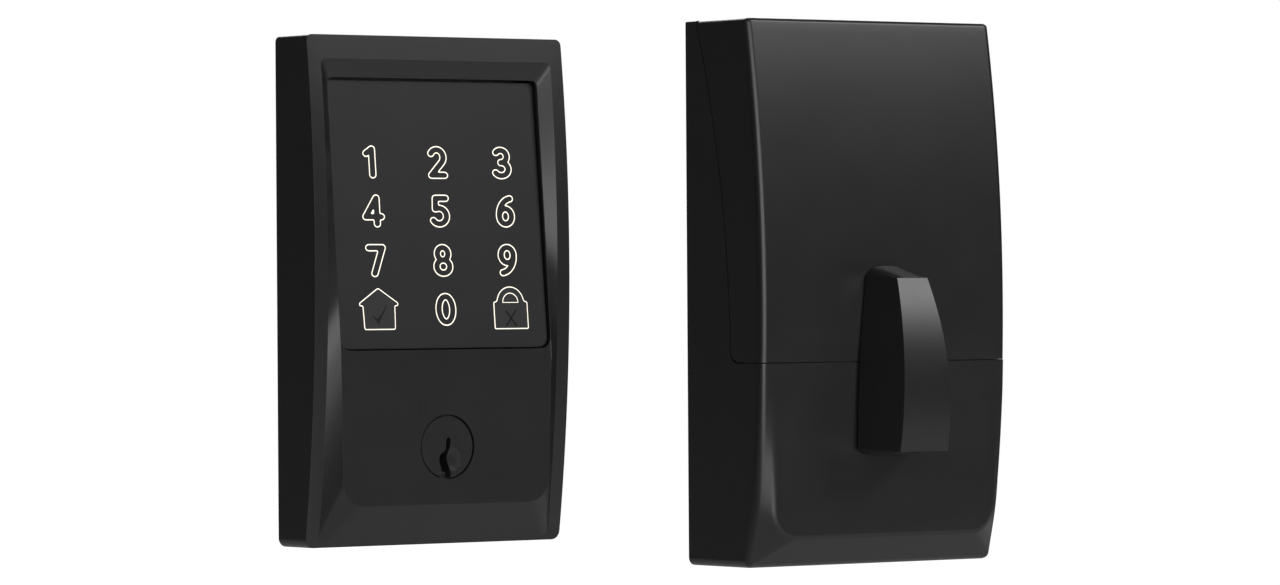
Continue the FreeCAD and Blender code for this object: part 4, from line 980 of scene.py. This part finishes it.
PLUG_FRONT, PLUG_HEAD, PLUG_GAUGE, PLUG_SHANK = 18.1, 7.7, 2.4, 6.35
KEYWAY_SETBACK = 3                      # how far the keyway stops short of the plug's back end
COLLAR_DROP, COLLAR_GAUGE, COLLAR_REST = 1.1, 0.1, 0.05
PLUG_PLAY, HEAD_PLAY, BORE_PLAY = 0.1, 0.06, 0.05
SCOOP, SCOOP_RADIUS = (1.5, 29.7, -3.1), 12.0
# the keyway from its top left corner, down the left side, across the foot and up the right side
KEYWAY = [(-0.3, 2.4), (-0.3, -0.7), (-1.05, -1.3), (-2.1, -1.8), (-2.4, -3.0), (-2.25, -4.3),
          (-1.6, -5.8), (-1.65, -8.3), (1.1, -8.3), (1.05, -6.3), (0.6, -4.9), (0.05, -3.4),
          (0.0, -2.3), (0.5, -1.1), (1.0, 0.4), (1.2, 2.4)]


def closed_up(piece):
    """Fills the open ends of a lofted piece and turns its faces outwards."""
    whole = bmesh.new()
    whole.from_mesh(piece.data)
    bmesh.ops.holes_fill(whole, edges=whole.edges)
    bmesh.ops.recalc_face_normals(whole, faces=whole.faces)
    whole.to_mesh(piece.data)
    whole.free()
    return piece


def ball(name, centre, radius):
    whole = bmesh.new()
    bmesh.ops.create_uvsphere(whole, u_segments=64, v_segments=40, radius=radius * MM)
    data = bpy.data.meshes.new(name)
    whole.to_mesh(data)
    whole.free()
    data.transform(Matrix.Translation(to_world(centre)))
    piece = bpy.data.objects.new(name, data)
    bpy.context.scene.collection.objects.link(piece)
    return piece


def key_plug():
    """The plug: a wide head, its shank, the curling keyway and the scoop beside it."""
    back = -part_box("key_plug")[1].y / MM
    head_back = PLUG_FRONT - PLUG_GAUGE
    profile = [(PLUG_SHANK, back), (PLUG_SHANK, head_back), (PLUG_HEAD, head_back), (PLUG_HEAD, PLUG_FRONT)]
    plug = closed_up(loft("key_plug_body", round_rings(profile), {}))
    middles = [((a[0] + b[0]) / 2, (a[1] + b[1]) / 2) for a, b in zip(KEYWAY, KEYWAY[1:] + KEYWAY[:1])]
    slot = smooth_loop([p for pair in zip(KEYWAY, middles) for p in pair], 1)
    walls = [[(x, depth, z) for x, z in slot] for depth in (back + KEYWAY_SETBACK, PLUG_FRONT + 1)]
    cut_away(plug, ball("Scoop", SCOOP, SCOOP_RADIUS))
    cut_away(plug, closed_up(loft("Cutter", walls, {})))
    ease(plug, 0.1, 2, 50)
    bake(plug)
    place(plug, "key_rotor", "black_plug", "key_plug")


def cylinder_collar():
    """The cylinder's blackened face behind the plug's head and round its rim."""
    behind = PLUG_FRONT - PLUG_GAUGE - COLLAR_REST
    back, rim = behind - COLLAR_GAUGE, PLUG_FRONT - COLLAR_DROP
    shank, head, bore = PLUG_SHANK + PLUG_PLAY, PLUG_HEAD + HEAD_PLAY, PLUG_BORE - BORE_PLAY
    profile = [(shank, back), (shank, behind), (head, behind), (head, rim), (bore, rim), (bore, back)]
    collar = loft("cylinder_collar", round_rings(profile), {})
    bake(collar)
    place(collar, "lock_frame", "dark_rubber")


# ---- carried-over pieces ---------------------------------------------------------------------


def dress_frame():
    """Every carried-over node gets its own slot's finish."""
    for part in frame["record"]["subparts"]:
        thing = nodes[part["node"]]
        material = finishes[part["material_slot"]]
        thing.data.materials.clear()
        thing.data.materials.append(material)


# ---- stage, light and camera -------------------------------------------------------------------

CAMERA_PLACE = Vector((-0.8494, -1.2540, 0.0396))
CAMERA_YAW, CAMERA_PITCH, CAMERA_ROLL = math.radians(36.351), math.radians(-0.052), math.radians(-0.379)
LENS_MM, SENSOR_MM, NEAREST = 168.75, 36.0, 0.05


def camera():
    forward = Vector((math.sin(CAMERA_YAW) * math.cos(CAMERA_PITCH),
                      math.cos(CAMERA_YAW) * math.cos(CAMERA_PITCH), math.sin(CAMERA_PITCH)))
    level = Vector((math.cos(CAMERA_YAW), -math.sin(CAMERA_YAW), 0))
    upright = level.cross(forward)
    right = level * math.cos(CAMERA_ROLL) + upright * math.sin(CAMERA_ROLL)
    up = upright * math.cos(CAMERA_ROLL) - level * math.sin(CAMERA_ROLL)
    data = bpy.data.cameras.new("ViewCamera")
    data.sensor_width = SENSOR_MM
    data.lens = LENS_MM
    data.clip_start = NEAREST
    eye = bpy.data.objects.new("ViewCamera", data)
    turn = Matrix((right, up, -forward)).transposed()
    eye.matrix_world = Matrix.Translation(CAMERA_PLACE) @ turn.to_4x4()
    bpy.context.scene.collection.objects.link(eye)
    bpy.context.scene.camera = eye


LIGHT_AIM = (0.065, 0, 0.04)
# each softbox's place in metres, width, height and power in watts
SOFTBOXES = {
    "FaceBox": ((-0.62, -2.1, 0.25), 1.75, 1.5, 24),
    "HighBox": ((1.35, -1.35, 1.15), 0.8, 0.7, 12),
    "LowBounce": ((0.3, -1.3, -0.9), 1.4, 0.6, 4),
    "BackBox": ((0.9, 1.5, 1.0), 1.0, 1.0, 14),
}
ROOM_FILL = 0.07
FLOOR_HEIGHT, FLOOR_REACH = -0.30, 6.0


def softbox(name, place_at, width, height, power):
    data = bpy.data.lights.new(name, "AREA")
    data.shape = "RECTANGLE"
    data.size, data.size_y = width, height
    data.energy = power
    lamp = bpy.data.objects.new(name, data)
    lamp.location = place_at
    lamp.rotation_euler = (Vector(LIGHT_AIM) - Vector(place_at)).to_track_quat("-Z", "Y").to_euler()
    bpy.context.scene.collection.objects.link(lamp)


def white_floor():
    """A pale matte floor that reads as plain white to the camera and lights nothing itself."""
    material = finish("PaleFloor", (0.80, 0.80, 0.80), (0.86, 0.86, 0.86), 0.9, rub=0.0, bump=0.0)
    tree = material.node_tree
    shader = tree.nodes["Principled BSDF"]
    path = tree.nodes.new("ShaderNodeLightPath")
    tree.links.new(path.outputs["Is Camera Ray"], shader.inputs["Emission Strength"])
    shader.inputs["Emission Color"].default_value = (1, 1, 1, 1)
    reach = FLOOR_REACH
    mesh = bpy.data.meshes.new("floor")
    corners = [(-reach, -reach, 0), (reach, -reach, 0), (reach, reach, 0), (-reach, reach, 0)]
    mesh.from_pydata(corners, [], [(0, 1, 2, 3)])
    mesh.materials.append(material)
    floor = bpy.data.objects.new("floor", mesh)
    floor.location = (0, 0, FLOOR_HEIGHT)
    bpy.context.scene.collection.objects.link(floor)


def white_room(fill):
    """White to the camera, a dim even fill to everything else."""
    world = bpy.data.worlds.new("Studio")
    bpy.context.scene.world = world
    world.use_nodes = True
    tree = world.node_tree
    back = tree.nodes["Background"]
    back.inputs["Color"].default_value = (1, 1, 1, 1)
    back.inputs["Strength"].default_value = fill
    seen = tree.nodes.new("ShaderNodeBackground")
    seen.inputs["Color"].default_value = (1, 1, 1, 1)
    path = tree.nodes.new("ShaderNodeLightPath")
    mix = tree.nodes.new("ShaderNodeMixShader")
    tree.links.new(path.outputs["Is Camera Ray"], mix.inputs[0])
    tree.links.new(back.outputs[0], mix.inputs[1])
    tree.links.new(seen.outputs[0], mix.inputs[2])
    tree.links.new(mix.outputs[0], tree.nodes["World Output"].inputs["Surface"])


def studio():
    white_floor()
    white_room(ROOM_FILL)
    for name, settings in SOFTBOXES.items():
        softbox(name, *settings)


dress_frame()
outside_housing()
screen_glass()
legends()
battery_cover()
inside_housing()
seam_ledge()
seam_ribs()
cell_bands()
thumbturn()
key_plug()
cylinder_collar()
camera()
studio()
bpy.context.scene.view_settings.view_transform = "Standard"
